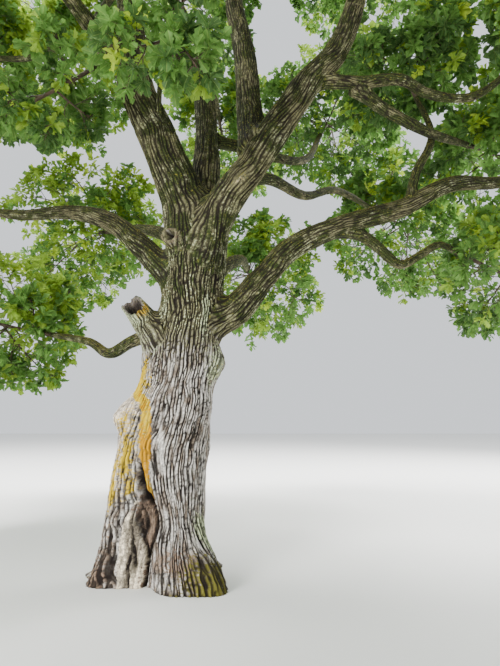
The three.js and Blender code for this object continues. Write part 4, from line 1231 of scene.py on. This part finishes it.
def reach_inside(start, way, limb):
    """How far each ray runs before it leaves its mass's space: to the ellipsoid, or to the
    plane halfway to a neighbour's, whichever comes first."""
    middle, radius = np.array(limb["mass"][0]), limb["mass"][1]
    round_again = np.array([1, 1, 1 / MASS_FLATNESS])
    off, step = (start - middle) * round_again, way * round_again
    a, b = (step**2).sum(-1), (off * step).sum(-1)
    c = (off**2).sum(-1) - radius**2
    reach = (np.sqrt(np.maximum(b**2 - a * c, 0)) - b) / a
    for other in LIMBS:
        if other is limb or "mass" not in other:
            continue
        away = np.array(other["mass"][0]) - middle
        distance = np.linalg.norm(away)
        limit = distance * radius / (radius + other["mass"][1]) - CELL_MARGIN
        speed = way @ away / distance
        to_plane = (limit - (start - middle) @ away / distance) / np.maximum(speed, 1e-6)
        reach = np.where(speed > 1e-6, np.minimum(reach, to_plane), reach)
    return np.maximum(reach, 0)


def ways_out(heading, count, scatter, lean, lift, random):
    """Directions that lean out from their parents' headings, each turned by the golden angle
    and some scatter from the one before, and then lifted."""
    shape = (len(heading), count)
    side = unit(np.cross(heading, unit(random.normal(size=(len(heading), 1, 3)))))
    over = np.cross(heading, side)
    spin = (np.arange(count) * GOLDEN_ANGLE + random.uniform(0, scatter, shape))[..., None]
    lean = random.uniform(*lean, shape)[..., None]
    way = np.cos(lean) * heading + np.sin(lean) * (np.cos(spin) * side + np.sin(spin) * over)
    return unit(way + np.array([0, 0, lift]))


def side_growth(parents, count, habit, limb, margin, random):
    """Shoots that leave their parents by a habit: each root lies on the parent's curve, and its
    way leans out from the parent's heading. Shorter towards the parent's end, and kept inside
    the mass's space. Gives start, bend and end points of those that have room."""
    start, bend, end = parents
    first, last = habit["along"]
    share = first + (last - first) * (np.arange(count) + 0.5) / count
    root, heading = curve_at(start[:, None], bend[:, None], end[:, None], share[None, :, None])
    way = ways_out(heading, count, 0.9, habit["lean"], habit["lift"], random)
    parent_length = np.linalg.norm(end - start, axis=1)[:, None]
    length = parent_length * habit["length"] * (1.15 - 0.6 * share) * random.uniform(
        0.7, 1.25, (len(start), count))
    room = reach_inside(root, way, limb) * random.uniform(0.88, 0.99, length.shape) - margin
    length = np.minimum(length, room)
    keep = length > LEAST_SHOOT
    root, way, length = root[keep], way[keep], length[keep][:, None]
    middle = root + 0.5 * way * length + 0.13 * length * random.normal(size=root.shape)
    return root, middle, root + way * length - np.array([0, 0, 0.05]) * length


def main_twigs(limb, stem, count, margin, random):
    """The source's twigs of one mass: from even places on the stem, each turned by the golden
    angle, from straight up round to straight down."""
    share = (np.arange(count) + 0.5) / count
    root, _ = curve_at(*stem, (FIRST_TWIG + (LAST_TWIG - FIRST_TWIG) * share)[:, None])
    rise = 1 - 2 * share
    spin = np.arange(count) * GOLDEN_ANGLE + random.random(count) * TWIG_SCATTER
    level = np.sqrt(1 - rise**2)
    way = np.stack([level * np.cos(spin), level * np.sin(spin), rise], 1)
    length = reach_inside(root, way, limb) * random.uniform(0.8, 0.97, count) - margin
    keep = length > LEAST_TWIG
    root, way, length = root[keep], way[keep], length[keep][:, None]
    sway = 0.12 * length * random.normal(size=root.shape)
    return root, root + 0.5 * way * length + sway, root + way * length


def grow_mass(limb, seed, sizes, skeletons):
    """The stem and three orders of twigs of one mass, as curves with the sizes of their tubes,
    and the leafy shoots among them. Shoots that come too near a limb are left out."""
    random = np.random.default_rng(seed)
    *stem, stem_radius = stem_of(limb)
    margin = 0.6 * sizes.far_leaf
    count = round(sizes.twigs_per_metre * limb["mass"][1])
    twigs = main_twigs(limb, stem, count, margin, random)
    side_twigs = side_growth(twigs, sizes.side_twigs, SIDE_TWIGS, limb, margin, random)
    shoots = side_growth(side_twigs, sizes.shoots, SHOOTS, limb, margin, random)
    clear = np.min([limb_gap(shoots[2], skeleton) for skeleton in skeletons], axis=0)
    clear = np.minimum(clear, trunk_gap(shoots[2]))
    shoots = [part[clear > SHOOT_CLEARANCE] for part in shoots]
    low, high = np.array(CAD_BOX[0]) + BOX_MARGIN, np.array(CAD_BOX[1]) - BOX_MARGIN
    curves = [[np.clip(part, low, high) for part in order]
              for order in (np.array(stem)[:, None], twigs, side_twigs, shoots)]
    tubes = [(stem_radius, STEM_END_RADIUS, STEM_RINGS, STEM_SIDES), *TWIG_TUBES]
    return list(zip(curves, tubes)), curves[-1]


def twig_tubes(curves, tube):
    """Tapering tubes along many quadratic curves at once: rings across each curve, joined by
    quads and closed at both ends."""
    start, bend, end = curves
    start_radius, end_radius, rings, columns = tube
    share = np.linspace(0, 1, rings)[None, :, None]
    middle, heading = curve_at(start[:, None], bend[:, None], end[:, None], share)
    chord = unit(end - start)[:, None]
    level = np.where(np.abs(chord[..., 2:]) > 0.9, (1.0, 0.0, 0.0), (0.0, 0.0, 1.0))
    side = unit(np.cross(np.broadcast_to(level, heading.shape), heading))
    over = np.cross(heading, side)
    spin = (2 * math.pi * np.arange(columns) / columns)[:, None]
    out = np.cos(spin) * side[:, :, None] + np.sin(spin) * over[:, :, None]
    radius = (start_radius + (end_radius - start_radius) * share)[..., None]
    points = (middle[:, :, None] + radius * out).reshape(-1, 3)
    corner = np.arange(1, columns - 1)
    zero = np.zeros(columns - 2, int)
    last = (rings - 1) * columns
    caps = np.vstack([np.stack([zero, corner + 1, corner], 1),
                      last + np.stack([zero, corner, corner + 1], 1)])
    first = (np.arange(len(start)) * rings * columns)[:, None, None]
    quads = (first + ring_quads(rings, columns)).reshape(-1, 4)
    return points, quads, (first + caps).reshape(-1, 3)


def joined(parts):
    """Meshes joined into one: each gives its points and then one or more arrays of faces."""
    before = np.cumsum([0] + [len(part[0]) for part in parts])
    points, *faces = zip(*parts)
    return np.concatenate(points), [
        np.concatenate([array + start for array, start in zip(arrays, before)])
        for arrays in faces]


def leaf_outline(leaf):
    """One leaf of unit length: points along, across and above, its triangles, and a mark that
    is 1 on the midrib. Its halves fold up and its tip curls down."""
    rib = len(leaf["midrib"])
    edge = np.array(leaf["edge"])
    flat = np.vstack([leaf["midrib"], edge, edge * (1, -1)])
    above = LEAF_FOLD * np.abs(flat[:, 1]) - LEAF_CURL * (flat[:, 0] - 0.35) ** 2
    half = np.array(leaf["half"])
    other = np.where(half >= rib, half + len(edge), half)
    return np.column_stack([flat, above]), np.vstack([half[:, ::-1], other]), np.arange(
        len(flat)) < rib


def leaf_sprays(shoots, limb, leaf, leaf_length, count, random):
    """Leaves of all the shoots of a mass: half along each shoot and half in a rosette at its end, each
    leaf turned by the golden angle, its upper side towards the sky. Gives the points, and a tone of
    painted light and shade for each leaf from its spray's place: painted shade inside the crown,
    painted light outside, on top and towards the left, and painted sunlight on a few sprays anywhere."""
    start, bend, end = shoots
    share = np.minimum(0.3 + 0.17 * np.arange(count), 1.0)[None, :, None]
    root, heading = curve_at(start[:, None], bend[:, None], end[:, None], share)
    along = ways_out(heading, count, 0.7, (0.55, 1.35), -0.15, random)
    sky = np.array([0, 0, 1.0]) + 0.45 * random.normal(size=along.shape)
    across = unit(np.cross(sky, along))
    above = np.cross(along, across)
    length = leaf_length * random.uniform(0.72, 1.12, (len(start), count))
    basis = np.stack([along, across, above], -2)
    points = root[:, :, None] + length[..., None, None] * (leaf @ basis)

    middle, radius = np.array(limb["mass"][0]), limb["mass"][1]
    off = (end - middle) / radius
    outward = np.linalg.norm(off, axis=1)
    outside = np.linalg.norm((end - CROWN_MIDDLE) / CROWN_REACH, axis=1)
    light = 0.5 * outside + 0.25 * off[:, 2] + 0.2 * outward
    light = light - 0.035 * np.clip(end[:, 0], -3, 3) + 0.2 * random.normal(size=len(end))
    light = light + 0.6 * (random.random(len(end)) < SUNLIT_SPRAYS)
    tone = np.digitize(light, TONE_LIMITS)
    return points.reshape(-1, len(leaf), 3), np.repeat(tone, count)


class OAK_OT_foliage(bpy.types.Operator):
    """Makes the twigs and leaves of every mass, joined by kind into a few pieces"""

    bl_idname = "oak.foliage"
    bl_label = "Foliage"

    def execute(self, context):
        sizes, colours = context.scene.oak_sizes, context.scene.oak_colours
        bark = twig_bark(colours)
        leaves = [oak_leaf(name, getattr(colours, name), colours) for name in LEAF_TONES]
        skeletons = [limb_skeleton(limb) for limb in LIMBS]
        low, high = (np.array(corner) for corner in CAD_BOX)
        batch, triangles, pieces = [], 0, 0
        for number, limb in enumerate(LIMBS):
            if "mass" not in limb:
                continue
            close = math.dist(limb["mass"][0], CAMERA_PLACE) < FULL_LEAF_WITHIN
            outline, faces, rib = leaf_outline(FULL_LEAF if close else PLAIN_LEAF)
            orders, shoots = grow_mass(limb, SEED + number, sizes, skeletons)
            points, tone = leaf_sprays(
                shoots, limb, outline, sizes.near_leaf if close else sizes.far_leaf,
                sizes.leaves, np.random.default_rng(SEED + 500 + number))
            inside = ((points > low) & (points < high)).all(axis=(1, 2))
            points, tone = points[inside], tone[inside]
            first = np.arange(len(points))[:, None, None] * len(outline)
            faces_of_all = (first + faces).reshape(-1, 3)
            if triangles + len(faces_of_all) > PIECE_LIMIT:
                pieces += 1
                self.join(pieces, batch, leaves, bark)
                batch, triangles = [], 0
            batch.append({
                "node": limb["name"] + "_foliage", "points": points.reshape(-1, 3),
                "faces": faces_of_all, "rib": np.tile(rib, len(points)),
                "tone": np.repeat(tone, len(faces)), "orders": orders})
            triangles += len(faces_of_all)
        self.join(pieces + 1, batch, leaves, bark)
        return {"FINISHED"}

    def join(self, number, batch, leaves, bark):
        """Joins the leaves of a batch of masses into one piece, and their twigs into another."""
        nodes = [mass["node"] for mass in batch]
        points, faces = joined([(mass["points"], mass["faces"]) for mass in batch])
        rib, tone = (np.concatenate([mass[key] for mass in batch]) for key in ("rib", "tone"))
        piece = new_piece(f"leaves_{number}", points, faces, leaves, {"rib": rib}, tone,
                          soft=False)
        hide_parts(*nodes)
        points, faces = joined([twig_tubes(*order) for mass in batch for order in mass["orders"]])
        piece = new_piece(f"twigs_{number}", points, faces, [bark])
        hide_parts(*nodes)


class OAK_OT_studio(bpy.types.Operator):
    """Makes the floor, the background, the soft lights and the camera"""

    bl_idname = "oak.studio"
    bl_label = "Studio"

    def execute(self, context):
        studio = context.scene.oak_studio
        self.floor(studio)
        self.lights(context, studio)
        self.camera(context)
        return {"FINISHED"}

    def floor(self, studio):
        """A matt, pale sheet of card."""
        material, tree = empty_material("matt_card")
        shader = add(tree, "BsdfPrincipled", {"Base Color": studio.floor, "Roughness": 0.9})
        add(tree, "OutputMaterial", {"Surface": shader.outputs[0]})
        mesh = bpy.data.meshes.new("floor")
        corners = [(-1, -1), (1, -1), (1, 1), (-1, 1)]
        mesh.from_pydata([(FLOOR_REACH * x, FLOOR_REACH * y, 0) for x, y in corners], [],
                         [(0, 1, 2, 3)])
        mesh.materials.append(material)
        floor = bpy.data.objects.new("floor", mesh)
        bpy.context.scene.collection.objects.link(floor)

    def lights(self, context, studio):
        """A pale surround, a low soft box that lights the trunk beneath the crown, a wide one
        over the crown that shines through the leaves, and one behind its right side."""
        world = bpy.data.worlds.new("surround")
        world.use_nodes = True
        background = world.node_tree.nodes["Background"]
        background.inputs["Color"].default_value = (*studio.background, 1)
        background.inputs["Strength"].default_value = studio.background_strength
        context.scene.world = world
        for name, settings in SOFT_BOXES.items():
            self.soft_box(name, settings, getattr(studio, name + "_power"))

    def soft_box(self, name, settings, power):
        """A square area light that the camera doesn't see."""
        light = bpy.data.lights.new(name, "AREA")
        light.shape = "SQUARE"
        light.size = settings["size"]
        light.energy = power
        box = bpy.data.objects.new(name, light)
        box.location = settings["place"]
        box.rotation_euler = aim_along(np.subtract(settings["target"], settings["place"]))
        box.visible_camera = False
        bpy.context.scene.collection.objects.link(box)

    def camera(self, context):
        """The photograph's viewpoint."""
        lens = bpy.data.cameras.new("photo_view")
        lens.sensor_width = SENSOR_WIDTH
        lens.lens = LENS_LENGTH
        lens.clip_end = VIEW_REACH
        camera = bpy.data.objects.new("photo_view", lens)
        camera.location = CAMERA_PLACE
        camera.rotation_euler = (math.radians(90 + CAMERA_TILT), 0, 0)
        context.scene.collection.objects.link(camera)
        context.scene.camera = camera


def aim_along(direction):
    """The turn that points a light along a direction."""
    x, y, z = direction / np.linalg.norm(direction)
    return math.acos(-z), 0, math.atan2(y, x) - math.pi / 2


class OAK_PT_panel(bpy.types.Panel):
    """Steps that dress the oak, in order"""

    bl_idname = "OAK_PT_panel"
    bl_label = "Oak"
    bl_space_type = "VIEW_3D"
    bl_region_type = "UI"
    bl_category = "Oak"

    def draw(self, context):
        column = self.layout.column()
        for group in SETTINGS:
            settings = getattr(context.scene, group)
            for name in settings.__annotations__:
                column.prop(settings, name)
        for step in STEPS:
            column.operator(step.bl_idname)


SETTINGS = {"oak_sizes": TreeSizes, "oak_colours": TreeColours, "oak_studio": StudioSettings}
STEPS = (OAK_OT_trunk, OAK_OT_limbs, OAK_OT_foliage, OAK_OT_studio)
CLASSES = (*SETTINGS.values(), *STEPS, OAK_PT_panel)


def register():
    """Registers the add-on's classes and its settings on the scene."""
    for each in CLASSES:
        bpy.utils.register_class(each)
    for name, group in SETTINGS.items():
        setattr(bpy.types.Scene, name, bpy.props.PointerProperty(type=group))


def unregister():
    """Takes away what register adds."""
    for name in SETTINGS:
        delattr(bpy.types.Scene, name)
    for each in reversed(CLASSES):
        bpy.utils.unregister_class(each)


def main():
    """Dresses the oak in order."""
    register()
    bpy.ops.oak.trunk()
    bpy.ops.oak.limbs()
    bpy.ops.oak.foliage()
    bpy.ops.oak.studio()


if __name__ == "__main__":
    main()
